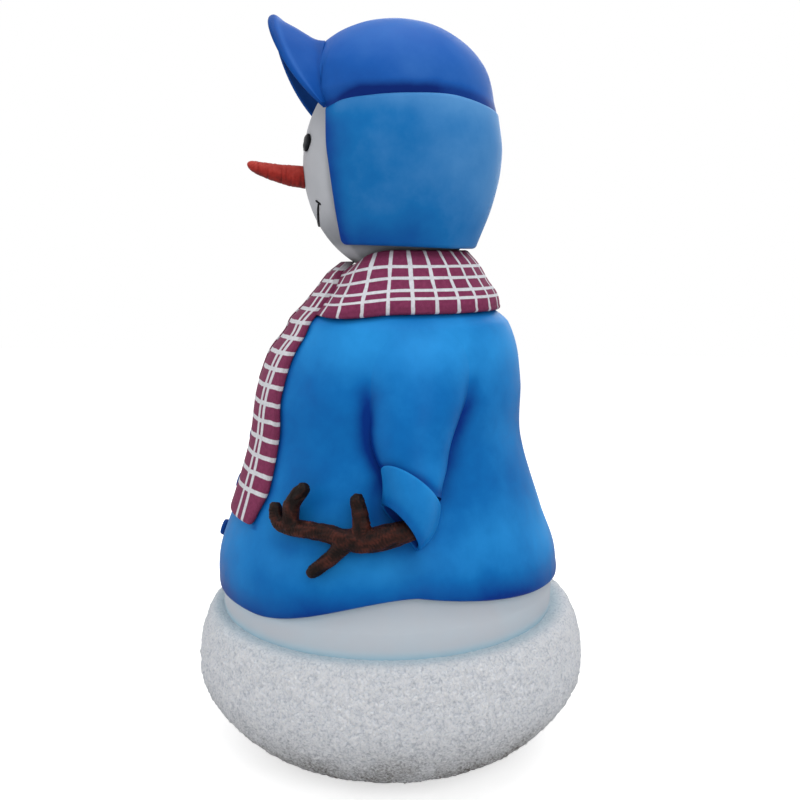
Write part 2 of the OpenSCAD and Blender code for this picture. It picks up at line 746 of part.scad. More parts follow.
module head_board(z) {
    r = min(head_in(z), head_in(z + head_board_t)) - 2 * bond_gap;
    translate([0, neck_back, z]) difference() {
        cylinder(r = r, h = head_board_t);
        translate([0, 0, -1]) cylinder(d = neck_sleeve_d + 2 * bond_gap, h = head_board_t + 2);
    }
}
module head_floor() color("#c8a878") head_board(head_floor_z);
module head_web() color("#c8a878") head_board(head_web_z);

// Nose, eyes and mouth

nose_socket_d = nose_peg_d + 2 * (peg_clear + socket_wall);
nose_root = [0, neck_back - head_out(nose_z), nose_z];
module nose_axis() { translate(nose_root) rotate([90 - nose_rise, 0, 0]) children(); }

module nose_socket() color("#8a8f96") head_turned() nose_axis() translate([0, 0, -nose_peg_len - 6])
    tube(nose_socket_d, nose_peg_d + 2 * peg_clear, nose_peg_len + 2);

module nose_peg() color("#b08a5a") head_turned() nose_axis() translate([0, 0, -nose_peg_len])
    cylinder(d = nose_peg_d, h = nose_peg_len + peg_grip);

// Distance along the nose's axis from its root plane to the face, at a point of that plane
function nose_seat(x, y) =
    let (
        tilt = 90 - nose_rise,
        size = [1 / (head_r + bond_gap), 1 / (head_r + bond_gap), 1 / (head_half_h + bond_gap)],
        from = nose_root + [x, y * cos(tilt), y * sin(tilt)] - [0, neck_back, head_z],
        q = [for (k = [0:2]) from[k] * size[k]],
        d = [0, -sin(tilt) * size.y, cos(tilt) * size.z]
    )
    (-q * d + sqrt(pow(q * d, 2) - (d * d) * (q * q - 1))) / (d * d);
function nose_radius(s) = nose_d / 2 * mix(1, 0.46, pow(s, 1.1)) * sqrt(max(0.02, 1 - pow(s, 12)));
module carrot_nose() color("#b5372a") head_turned() nose_axis() difference() {
    rings = 16;
    sides = 14;
    ring = function (s, share) let (r = share * nose_radius(s)) [for (j = [0:sides - 1])
        let (x = r * cos(360 * j / sides), y = r * sin(360 * j / sides))
        [x, y + nose_curve * nose_len * s * s, nose_seat(x, y) * pow(1 - s, 2) + nose_len * s]];
    loft(concat([ring(0, 0.5)], [for (i = [0:rings]) ring(pow(i / rings, 0.85), 1)]));
    translate([0, 0, -nose_d / 2])
        cylinder(d = nose_peg_d + 2 * bond_gap, h = nose_d / 2 + peg_grip + bond_gap);
}

module eye(side) {
    sides = 16;
    layers = [[0.95, 0], [1, 0.3], [0.9, 0.68], [0.62, 0.93], [0.3, 1]];
    slope = asin((eye_z - head_z) / head_half_h) * 0.9;
    lump = function (a) 1 + 0.05 * sin(3 * a + 40) + 0.04 * cos(5 * a);
    rings = [for (l = layers) [for (j = [0:sides - 1])
        let (a = 360 * j / sides, r = eye_d / 2 * l[0] * lump(a)) [r * cos(a), r * sin(a), eye_h * l[1]]]];
    translate([0, neck_back, eye_z]) rotate([0, 0, side * eye_half])
        translate([0, -head_out(eye_z) - bond_gap, 0]) rotate([90 - slope, 0, 0]) loft(rings);
}
module left_eye() color("#17181c") head_turned() eye(1);
module right_eye() color("#17181c") head_turned() eye(-1);

mouth_sides = 6;
function on_head(turn, z, off) = let (r = head_out(z) + off) [r * sin(turn), neck_back - r * cos(turn), z];
function smile_z(turn) = mix(smile_low_z, smile_high_z, pow(turn / mouth_half, 2));
module mouth_bead(points) {
    r = mouth_d / 2;
    loft([for (p = points) let (
            tip = [sin(p[0]), -cos(p[0]), 1.1 * (p[1] - head_z) / head_half_h],
            n = tip / norm(tip),
            c = on_head(p[0], p[1], 0) + n * (r + bond_gap)
        )
        [for (j = [0:mouth_sides - 1]) let (a = 360 * j / mouth_sides)
            c + r * (cos(a) * n + sin(a) * [0, 0, 1])]]);
}
module mouth_line() color("#17181c") head_turned() {
    steps = 24;
    mouth_bead([for (i = [0:steps]) let (t = mix(-mouth_half, mouth_half, i / steps)) [t, smile_z(t)]]);
}

// Hat

function crown_out(z) = crown_r * sqrt(max(0, 1 - pow(max(0, z - rim_z) / crown_h, 2)));
module hat_crown() color("#1f5fc0") head_turned() {
    steps = 16;
    lip = 10;
    outer = [for (i = [0:steps]) let (a = 90 * i / steps) [crown_r * cos(a), rim_z + crown_h * sin(a)]];
    inner = [for (i = [steps:-1:0]) let (a = 90 * i / steps)
        [(crown_r - 8) * cos(a), rim_z + lip + (crown_h - lip - 8) * sin(a)]];
    inside_r = head_out(rim_z) + neck_back - crown_back + bond_gap + 1;
    difference() {
        turned(concat([[inside_r, rim_z]], outer, inner, [[inside_r, rim_z + lip]]), crown_back);
        translate([0, crown_back, 0]) rotate([90, 0, 0]) linear_extrude(2 * crown_r) polygon(concat(
            [for (i = [-8:8]) let (u = i / 8, p = bill_point(u, 0, bill_t / 2)) [p.x, p.z + bond_gap]],
            [[bill_point(1, 0, 0).x, head_z], [bill_point(-1, 0, 0).x, head_z]]
        ));
    }
}

flap_top_z = rim_z - bond_gap;
flap_knots = [
    [flap_low_z, flap_low_r], [mix(flap_low_z, flap_top_z, 0.34), mix(flap_low_r, flap_r, 0.67)],
    [mix(flap_low_z, flap_top_z, 0.7), flap_r], [flap_top_z, flap_r - 11]
];
module hat_ear_flaps() color("#1d70c8") head_turned() {
    steps = 12;
    outer = [for (i = [0:steps])
        let (z = mix(flap_low_z, flap_top_z, i / steps)) [through(flap_knots, z), z]];
    inner = [for (i = [steps:-1:0]) let (z = mix(flap_low_z, flap_top_z, i / steps))
        [max(head_out(z) + bond_gap + 0.4, through(flap_knots, z) - flap_t), z]];
    translate([0, neck_back, 0]) rotate([0, 0, face_half - 90])
        rotate_extrude(angle = 360 - 2 * face_half) polygon(concat(outer, inner));
}

function bill_root(u) = mix(bill_root_z, bill_temple_z, pow(abs(u), 5));
// Point of the bill: u runs across, s from its root to its edge and below 0 back to the forehead
function bill_point(u, s, off) =
    let (
        turn = bill_half * u,
        z0 = bill_root(u),
        r0 = crown_out(z0) + bond_gap + 0.9,
        reach = mix(bill_len, bill_t, pow(abs(u), 4)),
        rise = mix(bill_rise, bill_rise - bill_droop, u * u),
        out = max(0, s),
        r = r0 + reach * out * cos(rise) - off * sin(rise),
        z = z0 + reach * out * sin(rise) + bill_curl * reach * out * out + off * cos(rise),
        low_z = z - forehead_drop * (1 - abs(u)),
        low_r = head_out(low_z - bill_t) + bond_gap + 1,
        edge = [r * sin(turn), crown_back - r * cos(turn), z],
        low = [low_r * sin(turn), neck_back - low_r * cos(turn), low_z]
    )
    s < 0 ? edge + (low - edge) * -s : edge;
module hat_bill() color("#1a55b0") head_turned() {
    columns = 28;
    rows = 7;
    lining = 2;
    edge = function (s) bill_t * (s < 0 ? 0.9 : 0.35 + 0.65 * sqrt(max(0, 1 - pow(s, 6))));
    grid = function (side) [for (i = [-lining:rows]) [for (j = [0:columns])
        let (s = i < 0 ? i / lining : i / rows, u = sin(90 * (2 * j / columns - 1)))
        bill_point(u, s, side * edge(s) / 2)]];
    slab(grid(-1), grid(1));
}

snow_base();
base_board();
anchor_inserts();
foot_bars();
armature_post();
frame_bolts();
frame_nuts();
flange_bolts();
flange_nuts();
belly_shell();
coat_shell();
neck_board();
post_collar();
left_sleeve();
right_sleeve();
left_cuff();
right_cuff();
left_arm_socket();
right_arm_socket();
coat_buttons();
scarf_wrap();
scarf_tail_long();
scarf_tail_short();
left_branch();
right_branch();
left_arm_peg();
right_arm_peg();
head_shell();
head_floor();
head_web();
neck_sleeve();
nose_socket();
hat_crown();
hat_ear_flaps();
hat_bill();
left_eye();
right_eye();
mouth_line();
carrot_nose();
nose_peg();
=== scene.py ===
import math
from functools import partial

import bmesh
import bpy
import numpy as np
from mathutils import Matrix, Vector, noise


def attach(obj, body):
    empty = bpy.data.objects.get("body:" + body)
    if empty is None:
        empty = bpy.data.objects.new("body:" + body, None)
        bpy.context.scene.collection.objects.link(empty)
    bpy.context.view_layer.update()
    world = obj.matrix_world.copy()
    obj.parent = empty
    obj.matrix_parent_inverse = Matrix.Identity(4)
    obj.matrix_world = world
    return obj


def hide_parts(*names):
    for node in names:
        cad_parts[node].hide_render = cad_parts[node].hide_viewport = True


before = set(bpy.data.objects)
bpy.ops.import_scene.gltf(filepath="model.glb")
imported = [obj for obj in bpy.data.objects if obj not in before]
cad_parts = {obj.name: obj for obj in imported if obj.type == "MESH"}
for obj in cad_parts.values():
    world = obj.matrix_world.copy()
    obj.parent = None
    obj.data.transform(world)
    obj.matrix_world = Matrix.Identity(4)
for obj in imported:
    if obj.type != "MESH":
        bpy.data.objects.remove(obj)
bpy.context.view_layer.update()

# Life-size cast resin snowman. Sizes are millimetres, as in the part's source, and become metres in new_piece().
MM = 0.001
SIDES = (("left", 1), ("right", -1))

# Castings
SHELL_WALL = 6
COAT_WALL = 9
BOND_GAP = 0.5

# Snow base and belly
BASE_R, FOOT_R = 492, 280
BASE_WIDEST_Z, SEAM_Z = 212, 360
BASE_CURVE, BASE_SLIM, BASE_SLIM_Z, BASE_SLIM_H = 2.3, 9, 115, 55
SEAM_R, HEM_R = 457, 434
BASE_WALL, DARKENING_Z = 9.6, 260
FLANGE_R, FLANGE_T = 376.5, 8
BELLY = [(419, HEM_R - 4), (610, 382)]
BELLY_FOOT_Z, BELLY_TOP_Z = SEAM_Z - 2, 560

# Coat: height and radius up its outline
COAT = [(419, 427), (465, 431), (520, 423), (610, 390), (790, 336), (930, 322), (1070, 275), (1120, 214), (1190, 155)]
HEM_LOW_Z, HEM_HIGH_Z, HEM_BACK_Z, HEM_TURN = 419, 500, 445, 50
WAIST_Z, CHEST_Z, SHOULDER_Z, YOKE_Z, NECK_Z = 790, 930, 1070, 1120, 1190
NECK_BACK, SKIRT_FRONT = 20, 9
CHEST_FLAT, CHEST_FLAT_TURN, CHEST_FLAT_Z, CHEST_FLAT_H = 15, 78, 1056, 36
# Where its painted highlight is palest, and the heights between which its painted shade is deep beside the sleeves
SHOULDER_HIGHLIGHT_Z, SKIRT_HIGHLIGHT_Z, ARMPIT_Z, ARMPIT_LOW_Z = 1040, 590, 1000, 650

# Sleeves and cuffs
SLEEVE_TURN, SLEEVE_TOP_Z = 106, 1074
SLEEVE_W, SLEEVE_CUFF_W, SLEEVE_H = 234, 138, 92
LIP_Z, LIP_STEP, LIP_SLOPE, LIP_TILT, LIP_FORE = 739, 9, 0.52, 0.75, 8
MOUTH_Z, MOUTH_SLOPE, MOUTH_DEPTH = 659, 1.32, 18
CUFF_WALL, CUFF_SWELL = 10, 14
# Middle and half size of the cuff's shadow on the coat
CUFF_TURN, CUFF_Z, CUFF_HALF_W, CUFF_HALF_H = 103, 690, 78, 92

# Branch arms
ARM_RISE, ARM_SPLAY = 37, 18
GROOVE_W, GROOVE_LEN = 9, 34

# Scarf
SCARF_TOP_Z, SCARF_LOW_Z, SCARF_DROP = 1236, 1110, 16
SCARF_T, SCARF_TOP_R, SCARF_FOLD = 24, 176, 2.5
TAIL_T, TAIL_SPAN, TAIL_TOP_Z = 12, 31, 1218
TAIL_FLARE, TAIL_FLARE_H = 3.5, 160
LONG_TAIL_Z, LONG_TAIL_TURN = 612, 31
SHORT_TAIL_Z, SHORT_TAIL_TURN = 925, -4
# Its check: pitch and width of the cross bars on the tails, the turn between them on the wound part, the bare end of
# a tail and the width of the lines along the wound part
BAR_PITCH, BAR_W, BAR_TURN, BARE_END, LINE_W = 42, 10.4, 13, 80, 8

# Head, hat and face
HEAD_R, HEAD_HALF_H, HEAD_Z, HEAD_TURN = 232, 265, 1450, 12
HEAD_CUT_Z, CHIN_Z, UNDERSIDE_Z = 1206, 1370, 1268
CROWN_R, CROWN_H, RIM_Z, CROWN_BACK, CROWN_HIGHLIGHT_Z = 243, 202, 1584, 9, 1690
FLAP_R, FLAP_LOW_R, FLAP_LOW_Z, FLAP_T = 251, 190, 1252, 16
FLAP_RUN, FLAP_RIM, FLAP_CORNER = 1090, 8, 16
FACE_HALF = 41
BILL_LEN, BILL_RISE, BILL_DROOP, BILL_T = 134, 32, 89, 12
BILL_ROOT_Z, BILL_TEMPLE_Z, BILL_HALF = 1715, 1579, 43.2
BILL_SUNK, BILL_BEND, BILL_ARCH, FOREHEAD_DROP = 9, 20, 6, 45
NOSE_Z, NOSE_RISE, NOSE_CURVE, NOSE_D, NOSE_LEN = 1421, 4, 0.145, 54, 137
NOSE_HOLE_R = 14.8
EYE_D, EYE_H, EYE_HALF, EYE_Z = 42, 8, 16, 1496
MOUTH_D, MOUTH_HALF, SMILE_LOW_Z, SMILE_HIGH_Z = 7, 25, 1306, 1356
BUTTON_D, BUTTON_H, BUTTON_TURN, BUTTON_LOW_Z, BUTTON_PITCH = 42, 14, 2, 526, 128


# Curves shared by the pieces

def mix(a, b, t):
    return a + (b - a) * t


def ease(t):
    t = np.clip(t, 0, 1)
    return t * t * (3 - 2 * t)


def sind(degrees):
    return np.sin(np.radians(degrees))


def cosd(degrees):
    return np.cos(np.radians(degrees))


def soft(distance, width):
    """1 on a line, fading out about two widths away from it"""
    return np.exp(-np.square(distance / width))


def oval(r, height, half):
    """Radius of a rounded form of this half height, at a height from its middle"""
    return r * np.sqrt(np.maximum(0, 1 - (height / half) ** 2))


def rounded(t, least=0):
    """Quarter round that rises from an edge to 1"""
    return np.sqrt(np.clip(1 - (1 - np.clip(t, 0, 1)) ** 2, least, 1))


def through(knots, x):
    """Smooth curve through the knots, level beyond both ends"""
    at, value = np.array(knots, float).T
    slope = np.gradient(value)
    slope[1:-1] = (value[2:] - value[:-2]) / (at[2:] - at[:-2])
    slope[0] = (value[1] - value[0]) / (at[1] - at[0])
    slope[-1] = (value[-1] - value[-2]) / (at[-1] - at[-2])
    x = np.clip(x, at[0], at[-1])
    i = np.clip(np.searchsorted(at, x, side="right") - 1, 0, len(at) - 2)
    h = at[i + 1] - at[i]
    t = (x - at[i]) / h
    u = 1 - t
    return (u * u * (1 + 2 * t) * value[i] + t * u * u * h * slope[i]
            + t * t * (1 + 2 * u) * value[i + 1] - t * t * u * h * slope[i + 1])


def xyz(x, y, z):
    return np.stack(np.broadcast_arrays(x, y, z), axis=-1).astype(float)


def unit(way):
    return way / np.maximum(np.linalg.norm(way, axis=-1, keepdims=True), 1e-6)


def about(back, turn, r, z):
    """Point at a radius round an upright axis this far back; turn counts from straight ahead to its left"""
    return xyz(r * sind(turn), back - r * cosd(turn), z)


def from_front(turn):
    """Degrees from straight ahead, either way round"""
    return np.abs((turn + 180) % 360 - 180)


def around(count):
    """Even angles round a ring"""
    return np.linspace(0, 360, count, endpoint=False)


def spokes(across, up, count):
    """Even ways out round a ring, in the plane of two directions"""
    a = around(count)[:, None]
    return cosd(a) * across + sind(a) * up


def lengths(points):
    """Length along a route up to each of its points"""
    return np.concatenate([[0], np.cumsum(np.linalg.norm(np.diff(points, axis=0), axis=-1))])


def even_steps(points, step):
    """Points at even steps along a route of close points"""
    length = lengths(points)
    at = np.linspace(0, length[-1], max(2, int(length[-1] / step) + 1))
    return np.stack([np.interp(at, length, column) for column in points.T], axis=-1)


def lumps(points, size, octaves=3):
    """Fractal noise whose largest lumps are about `size` mm across"""
    flat = np.asarray(points, float).reshape(-1, 3) / size
    values = [noise.fractal(Vector(p), 1.0, 2.0, octaves) for p in flat.tolist()]
    return np.array(values).reshape(np.shape(points)[:-1])


def on_head_turned(points):
    """Turns points of the head about the post, as the head is turned to its left"""
    x, y, z = np.moveaxis(np.asarray(points, float), -1, 0)
    y = y - NECK_BACK
    c, s = cosd(HEAD_TURN), sind(HEAD_TURN)
    return xyz(c * x - s * y, NECK_BACK + s * x + c * y, z)


# Making a piece

def ring_faces(low, high):
    """Four-sided faces between rings of points and the rings above them"""
    return np.stack([low, np.roll(low, -1, 1), np.roll(high, -1, 1), high], axis=-1).reshape(-1, 4)


def new_piece(name, points, faces, tones=()):
    """Object through points in mm, with the tones that its paint reads at each point"""
    mesh = bpy.data.meshes.new(name)
    mesh.from_pydata((np.asarray(points) * MM).tolist(), [], faces)
    for tone, values in dict(tones).items():
        mesh.attributes.new(tone, "FLOAT", "POINT").data.foreach_set("value", values.astype(np.float32))
    piece = bpy.data.objects.new(name, mesh)
    bpy.context.scene.collection.objects.link(piece)
    return piece


def dress(piece, body, node, paint):
    piece.data.materials.clear()
    piece.data.materials.append(paint)
    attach(piece, body)
    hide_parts(node)
    return piece


def cast(name, body, node, slot, paint, rows, shut="caps", sharp=60, **tones):
    """Casting through rings of points. It is shut by caps, or as a wall whose last ring meets its first. It stands
    for a CAD node."""
    rows = np.asarray(rows, float)
    m, n = rows.shape[:2]
    points = rows.reshape(-1, 3)
    index = np.arange(m * n).reshape(m, n)
    caps = np.empty((0, 3), int)
    if shut == "wall":
        quads = ring_faces(index, np.roll(index, -1, axis=0))
    else:
        quads = ring_faces(index[:-1], index[1:])
        points = np.vstack([points, rows[0].mean(0), rows[-1].mean(0)])
        ends = (index[0][::-1], m * n), (index[-1], m * n + 1)
        caps = np.vstack([np.stack([0 * ring + tip, ring, np.roll(ring, -1)], axis=-1) for ring, tip in ends])
    for tone, values in tones.items():
        values = np.broadcast_to(values, (m, n)).astype(float)
        at_caps = [values[0].mean(), values[-1].mean()] if len(caps) else []
        tones[tone] = np.append(values, at_caps)
    piece = new_piece(name, points, quads.tolist() + caps.tolist(), tones)
    a, b, c = np.moveaxis(points[np.vstack([quads[:, :3], quads[:, [0, 2, 3]], caps])], 1, 0)
    if (a * np.cross(b, c)).sum() < 0:
        piece.data.flip_normals()
    piece.data.shade_smooth()
    piece.data.set_sharp_from_angle(angle=math.radians(sharp))
    return dress(piece, body, node, paint)


def pad_ring(outer, inner, turns=7):
    """Ring round a pad's section: along its outer points, round one edge, back along its inner points and round
    the other. Both are arrays of (rows, points, 3), and the edges are half round."""
    def edge(a, b, beside_a, beside_b):
        middle, half = (a + b) / 2, (a - b) / 2
        outward = unit((a + b - beside_a - beside_b) / 2)
        bulge = np.linalg.norm(half, axis=-1, keepdims=True)
        angles = np.linspace(0, 180, turns + 2)[1:-1]
        return np.stack([middle + half * cosd(t) + outward * bulge * sind(t) for t in angles], axis=1)
    last = edge(outer[:, -1], inner[:, -1], outer[:, -2], inner[:, -2])
    first = edge(inner[:, 0], outer[:, 0], inner[:, 1], outer[:, 1])
    return np.concatenate([outer, last, inner[:, ::-1], first], axis=1)


def pad_tone(outer, inner, turns=7):
    """The values of a tone round the same ring"""
    last, first = np.repeat(outer[:, -1:], turns, axis=1), np.repeat(outer[:, :1], turns, axis=1)
    return np.concatenate([outer, last, np.broadcast_to(inner, outer.shape)[:, ::-1], first], axis=1)


# Materials

def srgb(code):
    """Linear colour of an sRGB hex value"""
    channels = [int(code[i:i + 2], 16) / 255 for i in (1, 3, 5)]
    return [c / 12.92 if c <= 0.04045 else ((c + 0.055) / 1.055) ** 2.4 for c in channels] + [1.0]


def add(tree, kind, inputs=(), ramp=(), out=0, **settings):
    """Adds a node and gives one of its outputs. It takes the node's settings, a ramp's stops, and inputs in order or
    by name, each a value or the output that is linked to it."""
    node = tree.nodes.new("ShaderNode" + kind)
    for name, value in settings.items():
        setattr(node, name, value)
    for key, value in inputs.items() if isinstance(inputs, dict) else enumerate(inputs):
        if isinstance(value, bpy.types.NodeSocket):
            tree.links.new(value, node.inputs[key])
        else:
            node.inputs[key].default_value = value
    for place, _ in ramp[1:-1]:
        node.color_ramp.elements.new(place)
    for i, (place, code) in enumerate(ramp):
        stop = node.color_ramp.elements[i]
        stop.position, stop.color = place, srgb(code)
    return node.outputs[out]


def per_metre(size_mm):
    """Scale of a pattern whose features are this many millimetres apart"""
    return 1 / (size_mm * MM)


def new_finish(name, *tones, **values):
    """Starts a material whose shader has these values all over. Gives it, what adds its nodes, its coordinates and
    the tones that its castings carry."""
    material = bpy.data.materials.new(name)
    material.use_nodes = True
    tree = material.node_tree
    for socket, value in values.items():
        tree.nodes["Principled BSDF"].inputs[socket.replace("_", " ")].default_value = value
    node = partial(add, tree)
    place = node("TexCoord", out="Object")
    return material, node, place, [node("Attribute", out="Fac", attribute_name=tone) for tone in tones]


def link_finish(material, **outputs):
    """Links what varies over the surface to the shader's sockets"""
    tree = material.node_tree
    for socket, output in outputs.items():
        tree.links.new(output, tree.nodes["Principled BSDF"].inputs[socket.replace("_", " ")])
    return material


# Dusty satin paint mirrors less of its surroundings than a clean surface
SATIN_GLOSS = 0.045
# Noise keeps mostly between these values
NOISE_SPAN = 0.3, 0.7


def airbrushed_enamel(name, deep, mid, light, roughness=0.42):
    """Satin acrylic enamel, airbrushed on cast resin: one colour that goes deep in the folds as painted shade and pale
    on the swells as painted highlight, in soft random clouds, under a faint orange-peel gloss."""
    material, node, place, (shade,) = new_finish(name, "shade", IOR=1.5, Specular_IOR_Level=SATIN_GLOSS)
    cloud = node("TexNoise", {"Vector": place, "Scale": per_metre(210), "Detail": 2.0, "Roughness": 0.5})
    spray = node("TexNoise", {"Vector": place, "Scale": per_metre(34), "Detail": 4.0, "Roughness": 0.6})
    peel = node("TexNoise", {"Vector": place, "Scale": per_metre(3), "Detail": 1.0})
    soft_cloud = node("MapRange", [cloud, *NOISE_SPAN, -0.16, 0.16])
    soft_spray = node("MapRange", [spray, *NOISE_SPAN, 0.46, 0.54])
    # The shade tone paints shade deep and highlight pale
    tone = node("Math", [shade, 0.5, soft_spray], operation="MULTIPLY_ADD")
    tone = node("Math", [tone, soft_cloud], operation="ADD")
    colour = node("ValToRGB", [tone], ramp=[(0.0, deep), (0.5, mid), (1.0, light)])
    gloss = node("MapRange", [spray, *NOISE_SPAN, roughness - 0.05, roughness + 0.07])
    bump = node("Bump", {"Height": peel, "Strength": 0.12, "Distance": 0.4 * MM})
    return link_finish(material, Base_Color=colour, Roughness=gloss, Normal=bump)


def stucco_snow():
    """White acrylic over trowelled stucco: matt crumbs 6 to 8 mm apart, with painted shade greying the pits, pale blue
    airbrush and painted shade where it meets the belly, and darker towards the ground."""
    material, node, place, (pit, low_darkening, tint) = new_finish(
        "stucco_snow_paint", "shade", "low_darkening", "tint", IOR=1.48, Roughness=0.85, Specular_IOR_Level=0.1)
    crumb = node("TexNoise", {"Vector": place, "Scale": per_metre(8), "Detail": 5.0, "Roughness": 0.74,
                              "Distortion": 1.2})
    flake = node("TexVoronoi", {"Vector": place, "Scale": per_metre(6), "Randomness": 1.0})
    patch = node("TexNoise", {"Vector": place, "Scale": per_metre(90), "Detail": 3.0})
    height = node("Math", [flake, -0.35, crumb], operation="MULTIPLY_ADD")
    # Painted shade: the pits greyer than the crumbs' tops
    tone = node("Math", [pit, 0.08, height], operation="MULTIPLY_ADD")
    snow = node("ValToRGB", [tone], ramp=[(0.14, "#d6dbe4"), (0.3, "#f2f5fb"), (0.5, "#fbfcff")])
    pits = node("MapRange", [height, 0.5, 0.15, 0.5, 1.7])
    # Darker towards the ground, in patches and more in the pits
    darkening = node("Math", [patch, low_darkening], operation="MULTIPLY")
    darkening = node("Math", [darkening, pits], operation="MULTIPLY")
    darkened = node("Mix", {0: darkening, 6: snow, 7: srgb("#736e68")}, out=2, data_type="RGBA")
    # Pale blue airbrush and painted shade along the seam with the belly
    tinted = node("Mix", {0: tint, 6: darkened, 7: srgb("#c2dfec")}, out=2, data_type="RGBA")
    bump = node("Bump", {"Height": height, "Strength": 1.0, "Distance": 8 * MM})
    return link_finish(material, Base_Color=tinted, Normal=bump)


def smooth_snow(name, pale, shadow):
    """Sanded and painted resin: off-white, nearly matt, with faint sanding waves and an airbrushed shadow."""
    material, node, place, (shade,) = new_finish(name, "shade", IOR=1.48, Specular_IOR_Level=SATIN_GLOSS)
    cloud = node("TexNoise", {"Vector": place, "Scale": per_metre(120), "Detail": 4.0, "Roughness": 0.55})
    grain = node("TexNoise", {"Vector": place, "Scale": per_metre(4), "Detail": 3.0})
    drift = node("MapRange", [cloud, *NOISE_SPAN, -0.10, 0.10])
    tone = node("Math", [shade, drift], operation="ADD")
    colour = node("ValToRGB", [tone], ramp=[(0.0, pale), (1.0, shadow)])
    gloss = node("MapRange", [cloud, *NOISE_SPAN, 0.5, 0.66])
    bump = node("Bump", {"Height": grain, "Strength": 0.12, "Distance": 0.5 * MM})
    return link_finish(material, Base_Color=colour, Roughness=gloss, Normal=bump)


def painted_check():
    """Scarf painted by hand on resin: plum squares between off-white brush lines 8 to 13 mm wide, whose edges wander a
    little, with brush marks, painted shade in dark plum and a dull sheen."""
    material, node, place, (shade, along, beside) = new_finish(
        "painted_check", "shade", "along", "beside", IOR=1.48, Roughness=0.55, Specular_IOR_Level=SATIN_GLOSS)
    wander = node("TexNoise", {"Vector": place, "Scale": per_metre(45), "Detail": 3.0})
    brush = node("TexNoise", {"Vector": place, "Scale": per_metre(9), "Detail": 5.0, "Roughness": 0.7})
    sway = node("MapRange", [wander, *NOISE_SPAN, -1.4, 1.4])
    moved = node("Math", [along, sway], operation="ADD")
    to_bar = node("Math", [moved, BAR_PITCH / 2], operation="PINGPONG")
    blur = 0.7
    bar = node("MapRange", [to_bar, BAR_W / 2 + blur, BAR_W / 2 - blur, 0.0, 1.0])
    to_line = node("Math", [sway, 0.35, beside], operation="MULTIPLY_ADD")
    line = node("MapRange", [to_line, blur, -blur, 0.0, 1.0])
    check = node("Math", [bar, line], operation="MAXIMUM")
    plum = node("ValToRGB", [brush], ramp=[(0.25, "#6c2c49"), (0.75, "#893b5e")])
    white = node("ValToRGB", [brush], ramp=[(0.25, "#c0c1c8"), (0.7, "#dedfe3")])
    paint = node("Mix", {0: check, 6: plum, 7: white}, out=2, data_type="RGBA")
    # Painted shade: dark plum where the shade tone is high
    shaded = node("Mix", {0: shade, 6: paint, 7: srgb("#3a1526")}, out=2, data_type="RGBA")
    bump = node("Bump", {"Height": brush, "Strength": 0.2, "Distance": 0.6 * MM})
    return link_finish(material, Base_Color=shaded, Normal=bump)


def bark_resin():
    """Resin cast from bark: near-black brown in the grooves, where it is painted shade, and at the tips, dry-brushed
    reddish on the ridges, which also paints their highlight, with a waxy sheen."""
    material, node, place, (ridge, tip) = new_finish("bark_resin", "shade", "tip", IOR=1.5, Specular_IOR_Level=0.12)
    grain = node("TexNoise", {"Vector": place, "Scale": per_metre(11), "Detail": 6.0, "Roughness": 0.68})
    fine = node("TexNoise", {"Vector": place, "Scale": per_metre(3), "Detail": 3.0, "Roughness": 0.6})
    # Ridges lighter and grooves darker: dry-brushed colour that also paints highlight and shade
    tone = node("Math", [ridge, 0.6, grain], operation="MULTIPLY_ADD")
    tone = node("Math", [tone, tip], operation="SUBTRACT")
    colour = node("ValToRGB", [tone], ramp=[(0.15, "#130a08"), (0.55, "#2d1611"), (1.0, "#4e261e")])
    gloss = node("MapRange", [fine, *NOISE_SPAN, 0.4, 0.62])
    coarse = node("Bump", {"Height": grain, "Strength": 0.6, "Distance": 2.0 * MM})
    bump = node("Bump", {"Height": fine, "Strength": 0.4, "Distance": 0.6 * MM, "Normal": coarse})
    return link_finish(material, Base_Color=colour, Roughness=gloss, Normal=bump)


def carrot_resin():
    """Cast carrot: brick red, with painted highlight orange on its top and crests and painted shade brown underneath,
    in the wrinkles and at the root, satin.
    """
    material, node, place, (painted_light,) = new_finish("carrot_resin", "shade", IOR=1.5, Specular_IOR_Level=0.1)
    streak = node("TexNoise", {"Vector": place, "Scale": per_metre(8), "Detail": 5.0, "Roughness": 0.65})
    faint = node("MapRange", [streak, *NOISE_SPAN, 0.41, 0.59])
    tone = node("Math", [painted_light, 0.6, faint], operation="MULTIPLY_ADD")
    colour = node("ValToRGB", [tone], ramp=[(0.1, "#5e1a18"), (0.5, "#972a24"), (0.95, "#bd483f")])
    gloss = node("MapRange", [streak, *NOISE_SPAN, 0.38, 0.55])
    bump = node("Bump", {"Height": streak, "Strength": 0.45, "Distance": 1.0 * MM})
    return link_finish(material, Base_Color=colour, Roughness=gloss, Normal=bump)


def grained(name, dark, pale, grain_mm, stretch, roughness, depth_mm, metallic=0.0):
    """Plain shop materials inside the figure: sawn wood, primed tube, plated bolts and plastic pipe, each with its
    own grain and stretch."""
    material, node, place, _ = new_finish(name, IOR=1.5, Metallic=metallic)
    stretched = node("Mapping", {"Vector": place, "Scale": stretch})
    grain = node("TexNoise", {"Vector": stretched, "Scale": per_metre(grain_mm), "Detail": 5.0, "Roughness": 0.6})
    colour = node("ValToRGB", [grain], ramp=[(0.3, dark), (0.7, pale)])
    gloss = node("MapRange", [grain, *NOISE_SPAN, roughness + 0.08, roughness - 0.06])
    bump = node("Bump", {"Height": grain, "Strength": 0.3, "Distance": depth_mm * MM})
    return link_finish(material, Base_Color=colour, Roughness=gloss, Normal=bump)


